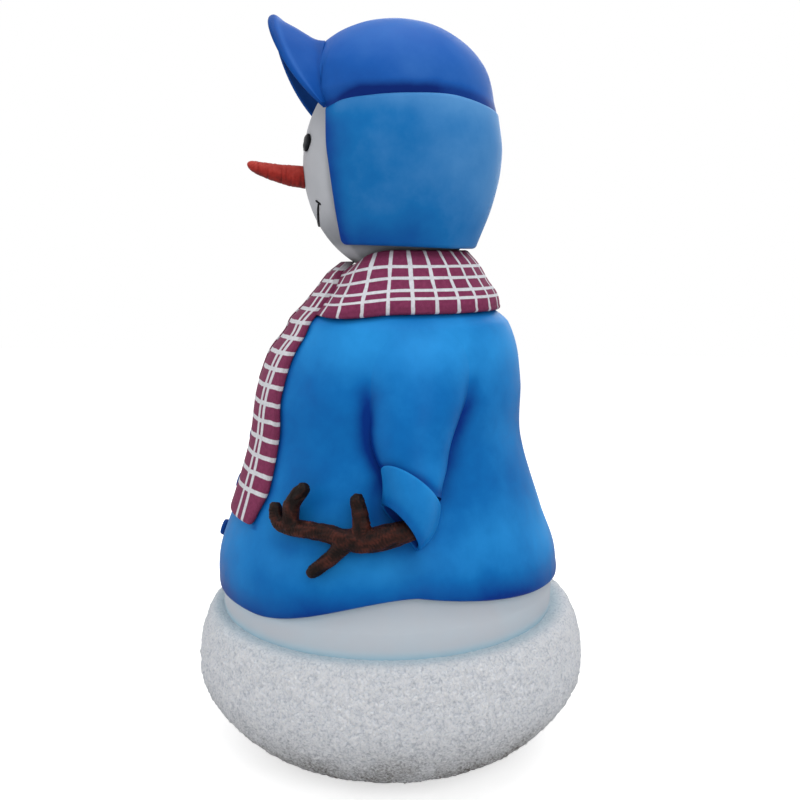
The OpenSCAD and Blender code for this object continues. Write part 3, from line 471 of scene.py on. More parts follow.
coat_enamel = airbrushed_enamel("coat_enamel", "#05307f", "#0f69b1", "#2b94dc")
hood_enamel = airbrushed_enamel("hood_enamel", "#07398a", "#176bae", "#5590c8")
crown_enamel = airbrushed_enamel("crown_enamel", "#0e2a72", "#1c56a6", "#3f74ba")
bill_enamel = airbrushed_enamel("bill_enamel", "#0a2c62", "#0f4c9b", "#3468b4")
button_enamel = airbrushed_enamel("button_enamel", "#0a2a68", "#123f86", "#2a62ae", 0.35)
coal_enamel = airbrushed_enamel("coal_enamel", "#0b0b0d", "#17181b", "#2b2c31", 0.38)
snow_stucco = stucco_snow()
belly_snow = smooth_snow("belly_snow_paint", "#bfc3ca", "#b0d2e2")
face_snow = smooth_snow("face_snow_paint", "#bdbfc4", "#6d7278")
scarf_check = painted_check()
bark = bark_resin()
carrot = carrot_resin()
birch_plywood = grained("birch_plywood", "#b08c5c", "#dcc198", 6, (1, 9, 1), 0.65, 0.3)
primed_steel = grained("primed_steel", "#55595e", "#6f747a", 14, (1, 1, 1), 0.5, 0.2)
zinc_plate = grained("zinc_plate", "#a9adb3", "#d2d5d9", 5, (1, 1, 1), 0.3, 0.1, metallic=1.0)
grey_pipe = grained("grey_pipe", "#7f848b", "#969ba2", 20, (1, 1, 0.2), 0.4, 0.1)
beech_dowel = grained("beech_dowel", "#a57c4d", "#cfa874", 3, (1, 1, 0.1), 0.55, 0.3)


# Body surfaces

def base_out(z):
    low_half = BASE_WIDEST_Z / math.sqrt(1 - (FOOT_R / BASE_R) ** 2)
    high_half = (SEAM_Z - BASE_WIDEST_Z) / (1 - (SEAM_R / BASE_R) ** BASE_CURVE) ** (1 / BASE_CURVE)
    low = oval(BASE_R, BASE_WIDEST_Z - z, low_half) - BASE_SLIM * soft(z - BASE_SLIM_Z, BASE_SLIM_H)
    high = BASE_R * (1 - np.clip((z - BASE_WIDEST_Z) / high_half, 0, 1) ** BASE_CURVE) ** (1 / BASE_CURVE)
    return np.where(z < BASE_WIDEST_Z, low, high)


def belly_r(z):
    return through(BELLY, z) - COAT_WALL - BOND_GAP


def coat_r(z):
    return through(COAT, z)


def lean(z):
    """How far back the coat's axis stands"""
    return mix(-SKIRT_FRONT, NECK_BACK, ease((z - WAIST_Z + 10) / (YOKE_Z - WAIST_Z + 10)))


def round_coat(turn, z, r):
    """Point at a radius from the coat's leaning axis, less where the chest is flat under the scarf's tails"""
    flat = CHEST_FLAT * ease((CHEST_FLAT_TURN - from_front(turn)) / 50) * soft(z - CHEST_FLAT_Z, CHEST_FLAT_H)
    return about(lean(z), turn, r - flat, z)


def on_coat(turn, z, off):
    return round_coat(turn, z, coat_r(z) + off)


def outside_coat(points, off):
    """Pushes points out of the coat's wall"""
    x, y, z = np.moveaxis(points, -1, 0)
    y = y - lean(z)
    k = np.maximum(1, (coat_r(z) + off) / np.hypot(x, y))
    return xyz(x * k, lean(z) + y * k, z)


def hem_z(turn):
    side = from_front(turn)
    front = mix(HEM_LOW_Z, HEM_HIGH_Z, ease((side - HEM_TURN) / (SLEEVE_TURN - HEM_TURN)))
    back = mix(HEM_HIGH_Z, HEM_BACK_Z, sind(90 * np.clip((side - SLEEVE_TURN) / (180 - SLEEVE_TURN), 0, 1)))
    return np.where(side < SLEEVE_TURN, front, back)


# Snow base and belly

def snow_base():
    """Up the ball's outline, over its rim and down its inner wall, with crumbs raised on the outside"""
    columns, step = 840, 3.4
    z = np.linspace(0, SEAM_Z - 9, 400)
    over = [(SEAM_R + 1, SEAM_Z - 6), (SEAM_R - 4, SEAM_Z - 1.5), (SEAM_R - 12, SEAM_Z), (SEAM_R - 45, SEAM_Z)]
    outline = even_steps(np.vstack([np.stack([base_out(z), z], axis=-1), over]), step)
    slope = np.gradient(outline, axis=0)
    normal = unit(np.stack([slope[:, 1], -slope[:, 0]], axis=-1))
    angle = around(columns)
    r, z = outline[:, :1], outline[:, 1:]
    skin = xyz(r * cosd(angle), r * sind(angle), z)
    coarse, fine = lumps(skin, 24), lumps(skin + 500, 9, 2)
    fade = (0.3 + 0.7 * ease((SEAM_Z - 1 - z) / 25)) * (0.45 + 0.55 * ease(z / 30))
    height = fade * (1.8 * np.tanh(2.2 * coarse) + 3.0 * fine)
    r, z = r + height * normal[:, :1], np.maximum(0, z + height * normal[:, 1:])
    z[0] = 0
    outer = xyz(r * cosd(angle), r * sind(angle), z)
    inside = [(FLANGE_R, SEAM_Z), (FLANGE_R, SEAM_Z - FLANGE_T)]
    inside += [(float(base_out(h)) - BASE_WALL, h) for h in np.linspace(SEAM_Z - FLANGE_T, 0, 14)]
    inner = np.array([xyz(a * cosd(angle), a * sind(angle), h) for a, h in inside])
    x, y, z = np.moveaxis(outer, -1, 0)
    from_belly = np.hypot(x, y + SKIRT_FRONT) - belly_r(SEAM_Z)
    # Tones: raised crumbs pale and pits grey as painted shade, darker towards the ground, pale blue airbrush and
    # painted shade at the seam
    tones = {"shade": height / 3.2, "low_darkening": 1.3 * ease((DARKENING_Z - z) / DARKENING_Z),
             "tint": 0.55 * soft(from_belly - 6, 24) * (z > BASE_WIDEST_Z)}
    tones = {tone: np.pad(values, ((0, len(inner)), (0, 0))) for tone, values in tones.items()}
    cast("snow_base_stucco", "torso", "snow_base", "snow_paint", snow_stucco, np.concatenate([outer, inner]),
         shut="wall", sharp=75, **tones)


def belly():
    z = np.concatenate([BELLY_FOOT_Z + np.array([0, 2, 5, 10]), np.linspace(BELLY_FOOT_Z + 18, BELLY_TOP_Z, 44)])
    profile = list(zip(belly_r(z) - 1.5 * soft(z - BELLY_FOOT_Z, 5), z))
    profile += [(belly_r(h) - SHELL_WALL, h) for h in np.linspace(BELLY_TOP_Z, BELLY_FOOT_Z + FLANGE_T, 10)]
    profile += [(FLANGE_R, BELLY_FOOT_Z + FLANGE_T), (FLANGE_R, BELLY_FOOT_Z)]
    angle = around(240)
    rows = np.array([xyz(r * cosd(angle), r * sind(angle) - SKIRT_FRONT, h) for r, h in profile])
    x, y, z = np.moveaxis(rows, -1, 0)
    turn = np.degrees(np.arctan2(x, -y)) % 360
    # Pale blue airbrush and painted shade at the foot's seam, painted shade under the coat's hem
    shade = 0.1 + 0.8 * soft(z - BELLY_FOOT_Z, 15) + 0.3 * soft(z - hem_z(turn), 14)
    cast("belly_casting", "torso", "belly_shell", "belly_paint", belly_snow, rows, shut="wall", shade=shade)


# Coat

SLEEVE_WIDTHS = [
    (LIP_Z - 60, 0.66 * SLEEVE_CUFF_W), (LIP_Z - 5, 0.79 * SLEEVE_CUFF_W), (LIP_Z + 40, 1.08 * SLEEVE_CUFF_W),
    (CHEST_Z - 65, mix(SLEEVE_CUFF_W, SLEEVE_W, 0.7)), (CHEST_Z + 45, 1.05 * SLEEVE_W),
    (SHOULDER_Z - 40, 0.95 * SLEEVE_W), (SLEEVE_TOP_Z, 0.75 * SLEEVE_W),
]
SLEEVE_HEIGHTS = [
    (LIP_Z - 60, SLEEVE_H), (LIP_Z + 40, 0.93 * SLEEVE_H), (CHEST_Z - 65, 0.76 * SLEEVE_H),
    (CHEST_Z + 30, 0.46 * SLEEVE_H), (SHOULDER_Z - 40, 0.17 * SLEEVE_H), (SHOULDER_Z - 14, 0.06 * SLEEVE_H),
    (SLEEVE_TOP_Z + 12, 0),
]
LIP_Y = float(lean(LIP_Z) - (coat_r(LIP_Z) + 0.5 * SLEEVE_H) * cosd(SLEEVE_TURN)) - LIP_FORE
LIP_HALF = SLEEVE_CUFF_W / 2 + 2
LIP_X = float(coat_r(LIP_Z) * sind(SLEEVE_TURN)) + SLEEVE_H + LIP_STEP - LIP_HALF
MOUTH_X, MOUTH_Y, MOUTH_HALF_W = LIP_X + 16, LIP_Y - 2 * LIP_FORE, 0.88 * LIP_HALF
# How far the mouth faces out, and stands further down its arm
MOUTH_OPEN, MOUTH_LONGER = 0.38, 7


def sleeve_turn_at(t, z):
    """Turn of a place on the sleeve: t runs from its front edge, -1, to its back edge, 1"""
    middle = SLEEVE_TURN + 1.2 * ease((LIP_Z + 120 - z) / 160) + 2.6 * ease((z - WAIST_Z - 10) / 130)
    return middle + np.degrees(t * through(SLEEVE_WIDTHS, z) / 2 / coat_r(z))


def sleeve_swell(t, z):
    power = mix(0.5, 1.5, ease((z - LIP_Z) / (SHOULDER_Z - 40 - LIP_Z)))
    return through(SLEEVE_HEIGHTS, z) * np.maximum(0, 1 - t * t) ** power


def tail_spread(z):
    return TAIL_FLARE * ease((z - SHOULDER_Z) / TAIL_FLARE_H + 0.81)


def tail_fuller(z):
    """How much further round the long tail's outer edge stands: out below the chest, in at its end and the neck"""
    hang = 2.4 * ease((CHEST_Z - 10 - z) / 100) - 4.5 * ease((LONG_TAIL_Z + 90 - z) / 90)
    return hang - 8 * ease((z - CHEST_Z) / 190) - 9 * ease((z - NECK_Z + 30) / 50)


def long_tail_side(z, side):
    return LONG_TAIL_TURN + TAIL_SPAN / 2 * side + tail_spread(z) * (1 + side) + tail_fuller(z) * (1 + side) / 2


def scarf_edge(turn):
    return SCARF_LOW_Z - SCARF_DROP * (1 - ease((from_front(turn) - 54) / 46))


def coat_shade(turn, z):
    """Airbrush on the coat that also paints its shade and highlight: deep along the hem, beside the scarf and sleeves,
    pale on the shoulders and skirt
    """
    side, wrapped = from_front(turn), (turn + 180) % 360 - 180
    per_degree = np.radians(coat_r(z))
    to_front = (side - sleeve_turn_at(-1, z)) * per_degree
    to_back = (side - sleeve_turn_at(1, z)) * per_degree
    to_long_tail = np.min([np.abs(wrapped - long_tail_side(z, edge)) for edge in (-1, 1)], axis=0) * per_degree
    to_short_tail = np.abs(np.abs(wrapped - SHORT_TAIL_TURN) - TAIL_SPAN / 2) * per_degree
    from_cuff = np.hypot((side - CUFF_TURN) * per_degree / CUFF_HALF_W, (z - CUFF_Z) / CUFF_HALF_H)
    armpit = ease((ARMPIT_Z - z) / 110) * ease((z - ARMPIT_LOW_Z) / 150)
    branch_shadow = ease((side - 48) / 14) * ease((112 - side) / 14)
    # Painted highlight on the shoulders and skirt, then painted shade in the creases, under the scarf and hem, round
    # the cuff and as the branch's shadow
    shade = 0.05 + 0.6 * soft(z - SHOULDER_HIGHLIGHT_Z, 80)
    shade = shade + (0.4 + 0.3 * ease((side - 105) / 40)) * soft(z - SKIRT_HIGHLIGHT_Z, 85)
    shade -= 1.15 * armpit * soft(to_front + 4, np.where(to_front < 0, 24, 15))
    shade -= 0.95 * armpit * soft(to_back - 2, np.where(to_back > 0, 30, 16))
    shade -= 0.7 * soft(to_long_tail, 12) * (z > LONG_TAIL_Z - 8)
    shade -= 0.6 * soft(to_short_tail, 12) * (z > SHORT_TAIL_Z - 8)
    shade -= 0.45 * soft(z - scarf_edge(turn), 16)
    shade -= 0.8 * soft(z - hem_z(turn), 46) + 0.15 * soft(z - hem_z(turn), 12)
    shade -= 0.4 * soft(np.maximum(0, from_cuff - 0.9) * 80, 13) * ease((WAIST_Z - z) / 60)
    shade -= 0.3 * soft(z - SKIRT_HIGHLIGHT_Z - 2, 20) * branch_shadow
    return shade


def coat():
    """Up the outside, down the inside and round the rolled hem"""
    columns, outer_rows, inner_rows = 420, 170, 24
    turn = around(columns)
    hem, lip = hem_z(turn), COAT_WALL / 2
    z = mix(hem + lip, NECK_Z, np.linspace(0, 1, outer_rows)[:, None])
    wave = 1.2 * lumps(on_coat(turn, z, 0), 130, 2) * ease((z - hem) / 60)
    outer = on_coat(turn, z, wave + 2.5 * soft(z - hem - 8, 16))
    inner = on_coat(turn, mix(hem + lip, NECK_Z, np.linspace(1, 0, inner_rows)[:, None]), -COAT_WALL)
    roll = [round_coat(turn, hem + lip - lip * sind(t), coat_r(hem + lip) - lip - lip * cosd(t))
            for t in np.linspace(0, 180, 9)[1:-1]]
    rows = np.concatenate([outer, inner, roll])
    # Painted shade, deep, on the inner wall and under the rolled hem
    shade = np.full(rows.shape[:2], -0.8)
    shade[:outer_rows] = coat_shade(turn + 0 * z, z)
    cast("coat_casting", "torso", "coat_shell", "coat_paint", coat_enamel, rows, shut="wall", shade=shade)


def sleeve_end_z(t):
    x, y, _ = np.moveaxis(on_coat(sleeve_turn_at(t, LIP_Z), LIP_Z, sleeve_swell(t, LIP_Z)), -1, 0)
    return LIP_Z + LIP_SLOPE * (LIP_Y - y) + LIP_TILT * (x - LIP_X)


def sleeves():
    """Each sleeve's edges run a little under the coat's skin, so that it grows out of the coat"""
    rows, columns = 90, 72
    t = sind(90 * np.linspace(-1, 1, columns))[None]
    lip = sleeve_end_z(t) + 24 * ease((t - 0.4) / 0.6)
    z = mix(lip - 6, SLEEVE_TOP_Z + 10, np.linspace(0, 1, rows)[:, None])
    turn = sleeve_turn_at(t, z)
    outer = on_coat(turn, z, sleeve_swell(t, z) - 1.2 - 2 * np.abs(t) ** 10)
    ring = np.concatenate([outer, on_coat(turn, z, -4)[:, ::-1]], axis=1)
    # Painted highlight on the shoulder and the sleeve's swell, painted shade along its creased edges, above the cuff
    # and on its underside
    below = ease((ARMPIT_Z - z) / 130)
    shade = 0.05 + 0.6 * soft(z - SHOULDER_HIGHLIGHT_Z, 80) + 0.1 * below * (1 - t * t)
    shade -= 1.1 * below * soft(1 - np.abs(t), 0.15) + 0.85 * soft(z - lip, 12)
    shade = np.concatenate([shade, 0 * shade - 0.5], axis=1)
    for side, sign in SIDES:
        cast(side + "_sleeve_casting", "torso", side + "_sleeve", "coat_paint", coat_enamel, ring * [sign, 1, 1],
             sharp=80, shade=shade)


def cuff_ring(s, inset, sink, sides=96):
    """Ring of the cuff: s runs from the lip to the mouth, inset and sink shape its rims and hollow"""
    slope = mix(LIP_SLOPE, MOUTH_SLOPE, s)
    across = np.array([0, -1, slope]) / math.hypot(1, slope)
    centre = np.array([mix(LIP_X, MOUTH_X, s), mix(LIP_Y, MOUTH_Y, s) - 3, mix(LIP_Z - 4, MOUTH_Z, s)])
    centre = centre + (MOUTH_LONGER * s - sink) * np.cross([1, 0, 0], across)
    a = around(sides)[:, None]
    to_side = np.sign(cosd(a)) * np.abs(cosd(a)) ** (1 - 0.35 * s)
    cut = MOUTH_OPEN * s * (1 + 0.4 * cosd(a))
    out = np.concatenate([1 + 0 * a, 0.8 * cut, LIP_TILT * (1 - s) + 0.6 * cut], axis=1)
    swell = CUFF_SWELL * math.sin(math.pi * s) * (1 - sind(a)) / 2
    half = mix(LIP_HALF, MOUTH_HALF_W, s) + 3 - inset
    return outside_coat(centre + (half + swell) * (to_side * out + sind(a) * across), 1 + inset)


def cuffs():
    """Over the rolled lip, down the outside, round the mouth's rim and up into its hollow"""
    lip, rim = 6, 4
    # Painted shade in the crease under the sleeve, deepening towards the mouth and in its hollow; painted highlight on
    # the rolled lip
    rings = [(cuff_ring(0, 16, 0), -0.8)]
    for t in np.linspace(0, 80, 7):
        rings.append((cuff_ring(0.06 * (1 - cosd(t)), lip * (1 - sind(t)) ** 2, 0), -0.3 + 0.85 * ease(t / 60)))
    for s in np.linspace(0.08, 0.97, 26):
        rings.append((cuff_ring(s, 0, 0), 0.42 - 0.5 * soft(s - 0.97, 0.16)))
    for t in np.linspace(10, 170, 9):
        rings.append((cuff_ring(1, rim * (1 - cosd(t)), -0.6 * rim * sind(t)), -0.1))
    for sink in np.linspace(2, MOUTH_DEPTH + MOUTH_LONGER, 6):
        rings.append((cuff_ring(1, CUFF_WALL + 0.11 * sink, sink), -0.8))
    shade = np.array([[tone] for _, tone in rings])
    for side, sign in SIDES:
        cast(side + "_cuff_casting", "torso", side + "_cuff", "coat_paint", coat_enamel,
             [ring * [sign, 1, 1] for ring, _ in rings], sharp=70, shade=shade)


# Shares of a button's width and height, round its rolled rim and into its dish
BUTTON_PROFILE = [
    (0.45, 0), (0.49, 0.12), (0.505, 0.34), (0.5, 0.6), (0.475, 0.84), (0.44, 0.97), (0.4, 1.0), (0.36, 0.95),
    (0.33, 0.84), (0.29, 0.75), (0.2, 0.73), (0.1, 0.76), (0.02, 0.78),
]


def buttons():
    across = np.array([cosd(BUTTON_TURN), sind(BUTTON_TURN), 0])
    # Painted highlight up the rolled rim, painted shade at its foot and in the dish
    shade = np.array([[h * 0.7 - 0.3 if r > 0.3 else -0.2] for r, h in BUTTON_PROFILE])
    for i in range(3):
        z = BUTTON_LOW_Z + i * BUTTON_PITCH
        tilt = math.atan((coat_r(z + 10) - coat_r(z - 10)) / 20)
        out = np.array([sind(BUTTON_TURN) * math.cos(tilt), -cosd(BUTTON_TURN) * math.cos(tilt), -math.sin(tilt)])
        ways = spokes(across, np.cross(out, across), 56)
        seat = on_coat(BUTTON_TURN, z, BOND_GAP)
        rows = [seat + BUTTON_D * r * ways + BUTTON_H * h * out for r, h in BUTTON_PROFILE]
        cast("coat_button_%d" % (i + 1), "torso", "coat_buttons", "button_paint", button_enamel, rows, shade=shade)


# Scarf

SCARF_ROLL = [(0, 0), (0.3, 0.17), (0.62, 0.5), (1, 1)]
# Height of each line up the wound part, beside the tails and from the shoulders on
WRAP_LINES = ((0.2, 0.19), (0.4, 0.34), (0.6, 0.56), (0.8, 0.77))
# Turn at which the wound part begins to leave the tails
LEAVE_TURN = 38


def from_tails(turn):
    """0 beside the tails, 1 from the shoulders round the back"""
    return ease((from_front(turn) - LEAVE_TURN) / 38)


def tails_joined(z):
    """0 on the chest, 1 from where a tail passes over the wound part"""
    return ease((z - SHOULDER_Z) / 70)


def tail_r(z):
    """Radius of the tails' seat: they lie on the coat and turn in over the neck"""
    bend_z = NECK_Z + 1
    return np.where(z < bend_z, coat_r(z), coat_r(bend_z) - 1.3 * (z - bend_z))


def check_tones(along, beside, shade):
    """What the painted check reads: along the cloth, beside its lines, and a shadow that is deep on the inside"""
    return {"along": pad_tone(along, along), "beside": pad_tone(beside, 9), "shade": pad_tone(shade, 0.8)}


def wrap_turn(z, share):
    long_edge = long_tail_side(z, 1) - 3
    short_edge = 360 + SHORT_TAIL_TURN - TAIL_SPAN / 2 - 2 * tail_spread(z) + 3 + 4 * tails_joined(z)
    return mix(long_edge, short_edge, share)


def scarf_wrap():
    """The wound part: it thins towards the tails, and its ends run under them"""
    columns, rows = 440, 64
    share, w = np.linspace(0, 1, columns)[:, None], np.linspace(0, 1, rows)[None]
    start = wrap_turn(SCARF_LOW_Z, share)
    top = mix(SCARF_TOP_Z - 24, SCARF_TOP_Z + 7, ease((from_front(start) - LEAVE_TURN) / 62))
    z = mix(scarf_edge(start) + 6, top - 5, w)
    turn = wrap_turn(z, share)
    away = from_tails(turn)
    wound = mix(coat_r(scarf_edge(turn)) + SCARF_T, SCARF_TOP_R, through(SCARF_ROLL, w)) + SCARF_FOLD * sind(540 * w)
    r = mix(tail_r(z) + 9, wound, away)
    r = r + 1.5 * lumps(round_coat(turn, z, r) * [1, 1, 2.2], 75, 2)
    outer = round_coat(turn, z, r)
    inner = round_coat(turn, z, np.minimum(coat_r(z) + 2, r - 6))
    tall = np.linalg.norm(np.diff(outer, axis=1), axis=-1).sum(axis=1)[:, None]
    beside = np.min([np.abs(w - mix(a, b, away)) for a, b in WRAP_LINES], axis=0) * tall - LINE_W / 2
    to_bar = np.abs((turn / BAR_TURN + 0.5) % 1 - 0.5) * math.radians(BAR_TURN) * r
    along = np.minimum(1.2 * to_bar, BAR_PITCH / 2)
    ends = np.minimum(turn - turn[:1], turn[-1:] - turn) * math.radians(1) * r
    # Painted shade at the ends under the tails, along the lower edge and under the chin along the top edge
    shade = 0.4 * soft(ends - 10, 10) + 0.2 * soft(w, 0.05) + 0.4 * soft(1 - w, 0.07)
    cast("scarf_wrap_casting", "torso", "scarf_wrap", "scarf_paint", scarf_check, pad_ring(outer, inner),
         **check_tones(along, beside, shade))


def scarf_tail(name, node, end_z, turn_middle, lift, way):
    """A tail hangs on the coat, with a rounded end, and passes over the end of the wound part. Its way is 1 to the
    figure's left and -1 to its right."""
    columns, corner, edge_r, blunt_h = 44, 20, 5.5, 7
    near_end = end_z + np.array([0, 0.8, 2, 4, 7, 11])
    z = np.concatenate([near_end, np.arange(end_z + 15, TAIL_TOP_Z, 4), [TAIL_TOP_Z]])[:, None]
    side = np.linspace(-1, 1, columns)[None]
    joined = tails_joined(z)
    middle = turn_middle + way * tail_spread(z)
    nick = (corner - 6) * (1 - rounded((z - end_z) / corner))
    half = TAIL_SPAN / 2 + tail_spread(z) - np.degrees((edge_r + nick) / coat_r(z))
    turn = middle + half * side - way * 1.25 * joined * (1 - way * side)
    turn = turn + (tail_fuller(z) if way > 0 else 4 * joined) * (1 + way * side) / 2
    blunt = rounded((z - end_z) / blunt_h, 0.02)
    seat = tail_r(z) + 1 + lift
    thick = TAIL_T * (0.8 + 0.2 * (1 - side * side)) + 9 * joined
    skin = round_coat(turn, z, seat + thick)
    thick = thick + 0.9 * lumps(skin + 300, 60, 2) + 1.2 * lumps(skin, 90, 2) * joined
    outer = round_coat(turn, z, seat + thick * (0.5 + 0.5 * blunt))
    inner = round_coat(turn, z, seat + thick * (0.5 - 0.5 * blunt))
    lines_turn = middle + (3.8 if way > 0 else 0)
    aside = np.radians(turn - lines_turn) * (seat + thick)
    spread = 12 + 7 * ease((end_z + 220 - z) / 220)
    beside = np.abs(np.abs(aside) - spread) - mix(6.6, 4.2, joined)
    from_end = lengths(outer[:, columns // 2])[:, None] + 0 * side
    along = np.maximum(from_end - BARE_END, -BAR_PITCH / 2)
    # Painted shade along its edges and near its top under the chin
    shade = 0.3 * soft(1 - np.abs(side), 0.1) + 0.5 * soft(z - TAIL_TOP_Z, 14)
    cast(name, "torso", node, "scarf_paint", scarf_check, pad_ring(outer, inner), sharp=70,
         **check_tones(along, beside, shade))


# Branch arms

ARM_IN = np.array([-sind(ARM_SPLAY) * cosd(ARM_RISE), cosd(ARM_SPLAY) * cosd(ARM_RISE), sind(ARM_RISE)])
ARM_ROOT = np.array([MOUTH_X + 22, MOUTH_Y + 12, MOUTH_Z - 15]) + MOUTH_DEPTH * ARM_IN
WRIST, FORK, PALM = (-19, -241, -16), (8, -143, -28), (-35, -279, -16)
# Places along each limb, from the peg's root, and the limb's radius there
LIMBS = [
    [((0, 0, 0), 23), ((5, -16, -4), 25), ((9, -34, -8), 26), ((8, -68, -20), 27.5), ((6, -100, -28), 26.5),
     (FORK, 24), ((-5, -193, -18), 20), (WRIST, 19), (PALM, 18.5)],
    [(WRIST, 17), (PALM, 19), ((-38, -281, 27), 18.5), ((-36, -270, 52), 18), ((-32, -251, 72), 16)],
    [(WRIST, 16), (PALM, 18), ((-51, -313, -9), 16.5), ((-59, -322, 20), 15)],
    [((4, -84, -22), 18), ((8, -112, -18), 21), ((9, -116, 20), 17.5), ((5, -124, 60), 16.5)],
    [((6, -102, -22), 17), (FORK, 22), ((13, -183, -68), 17), ((17, -221, -98), 15.5)],
]
LIMB_STEP, VOXEL = 6, 2.4


def limb_rings(limb):
    """Round-ended rings along one limb, and its route"""
    places = np.array([place for place, _ in limb], float)
    radii = np.array([radius for _, radius in limb], float)
    at = lengths(places)
    steps = np.linspace(0, at[-1], max(8, int(at[-1] / LIMB_STEP)))
    x, y, z, radius = [through(np.stack([at, column], axis=-1), steps) for column in (*places.T, radii)]
    route = xyz(x, y, z)
    ahead = unit(np.gradient(route, axis=0))

    def end(i, way, sizes):
        return [(route[i] + way * ahead[i] * radius[i] * math.sqrt(1 - c * c), radius[i] * c, ahead[i]) for c in sizes]
    sizes = [0.35, 0.65, 0.85, 0.96]
    rings = []
    for centre, size, along in end(0, -1, sizes) + list(zip(route, radius, ahead)) + end(-1, 1, sizes[::-1]):
        across = unit(np.cross(along, [0.3, 0.1, 0.95] if abs(along[2]) < 0.9 else [1, 0, 0]))
        rings.append(centre + size * spokes(across, np.cross(along, across), 20))
    return np.array(rings), route


def merged_limbs():
    """Limbs merged by a fine remesh: points, their normals and faces, and the limbs' routes"""
    points, faces, routes = [], [], []
    for limb in LIMBS:
        rings, route = limb_rings(limb)
        index = len(points) + np.arange(rings.size // 3).reshape(rings.shape[:2])
        points += rings.reshape(-1, 3).tolist()
        faces += ring_faces(index[:-1], index[1:]).tolist() + [index[0][::-1].tolist(), index[-1].tolist()]
        routes.append(route)
    limbs = new_piece("limbs", points, faces)
    remesh = limbs.modifiers.new("merge", "REMESH")
    remesh.mode, remesh.voxel_size = "VOXEL", VOXEL * MM
    smooth = limbs.modifiers.new("soften", "SMOOTH")
    smooth.factor, smooth.iterations = 0.6, 8
    merged = bpy.data.meshes.new_from_object(limbs.evaluated_get(bpy.context.evaluated_depsgraph_get()))
    bpy.data.objects.remove(limbs)
    points, normals = np.empty(3 * len(merged.vertices)), np.empty(3 * len(merged.vertices))
    merged.vertices.foreach_get("co", points)
    merged.vertices.foreach_get("normal", normals)
    faces = [tuple(face.vertices) for face in merged.polygons]
    return points.reshape(-1, 3) / MM, normals.reshape(-1, 3), faces, routes


def branches():
    """The bark's ridges are raised along the limbs, whose root is cut flat where the peg enters it"""
    points, normals, faces, routes = merged_limbs()
    route = np.concatenate(routes)
    apart = 900
    length = np.concatenate([LIMB_STEP * np.arange(len(r)) + apart * k for k, r in enumerate(routes)])
    batches = np.array_split(points, 20)
    nearest = np.concatenate([np.argmin(((p[:, None] - route) ** 2).sum(-1), axis=1) for p in batches])
    radial = points - route[nearest]
    grooves = lumps(radial / GROOVE_W + (length[nearest] / GROOVE_LEN)[:, None], 1.0, 3)
    height = 1.5 * np.tanh(2 * grooves) + 2.0 * lumps(points, 30, 2)
    to_tip = np.min([np.linalg.norm(points - r[-1], axis=-1) for r in routes[1:]], axis=0)
    in_cuff = ease((points[:, 1] + 34) / 16)
    points = points + normals * (height * (1 - in_cuff))[:, None]
    points = points - np.maximum(0, points @ ARM_IN + 2)[:, None] * ARM_IN
    for side, sign in SIDES:
        piece = new_piece(side + "_branch_bark", (points + ARM_ROOT) * [sign, 1, 1], faces,
                          {"shade": height / 3, "tip": 0.35 * soft(to_tip, 24)})
        if sign < 0:
            piece.data.flip_normals()
        piece.data.shade_smooth()
        dress(piece, side + "_arm", side + "_branch", bark)


# Head

def head_out(z):
    return oval(HEAD_R, z - HEAD_Z, HEAD_HALF_H)


NOSE_ROOT = np.array([0, NECK_BACK - float(head_out(NOSE_Z)), NOSE_Z])


def head():
    """Egg-shaped shell with the hole for the nose's socket; rings run round the nose, and the neck is cut level"""
    centre, half = np.array([0, NECK_BACK, HEAD_Z]), np.array([HEAD_R, HEAD_R, HEAD_HALF_H])
    ahead = (NOSE_ROOT - centre) / half
    spoke = spokes(np.array([1, 0, 0]), np.cross([1, 0, 0], ahead), 150)
    polar = np.concatenate([np.linspace(math.degrees(NOSE_HOLE_R / HEAD_R), 12, 8), np.linspace(14, 178, 90)])
    outer = [centre + half * (cosd(p) * ahead + sind(p) * spoke) for p in polar]
    inner = [centre + (half - SHELL_WALL) * (cosd(p) * ahead + sind(p) * spoke) for p in polar[::6]]
    rows = np.array(outer[::-1] + inner)
    x, y, z = np.moveaxis(rows, -1, 0)
    to_flap = np.radians(FACE_HALF - np.degrees(np.arctan2(np.abs(x), NECK_BACK - y))) * HEAD_R
    to_nose = np.linalg.norm(rows - NOSE_ROOT, axis=-1)
    # Painted shade beside the flaps, round the carrot's root and on the lower face, less under the chin where it
    # paints the scarf's reflection; the inside deep in painted shade
    shade = 0.06 + 0.35 * soft(np.maximum(0, to_flap), 9) + 0.5 * soft(to_nose - NOSE_D / 2, 8)
    shade += 0.85 * ease((CHIN_Z - z) / 120) - 0.6 * ease((UNDERSIDE_Z - z) / 24)
    shade[len(outer):] = 0.8
    shell = cast("head_casting", "head", "head_shell", "face_paint", face_snow, on_head_turned(rows), shade=shade)
    bm = bmesh.new()
    bm.from_mesh(shell.data)
    bmesh.ops.bisect_plane(bm, geom=bm.verts[:] + bm.edges[:] + bm.faces[:], plane_co=(0, 0, HEAD_CUT_Z * MM),
                           plane_no=(0, 0, 1), clear_inner=True)
    bmesh.ops.bridge_loops(bm, edges=[e for e in bm.edges if e.is_boundary])
    bmesh.ops.recalc_face_normals(bm, faces=bm.faces[:])
    bm.to_mesh(shell.data)
    bm.free()


def on_face(turn, z, off):
    """Point on the head and the way out of it there"""
    r = head_out(z)
    out = unit(xyz(sind(turn) * r / HEAD_R ** 2, -cosd(turn) * r / HEAD_R ** 2, (z - HEAD_Z) / HEAD_HALF_H ** 2))
    return about(NECK_BACK, turn, r, z) + out * off, out


# Shares of a lump of coal's width and height, from its seat up
COAL_LAYERS = [
    (0.9, -0.15), (0.97, 0.1), (1.0, 0.3), (0.97, 0.52), (0.88, 0.72), (0.72, 0.87), (0.5, 0.96), (0.25, 1.0),
]


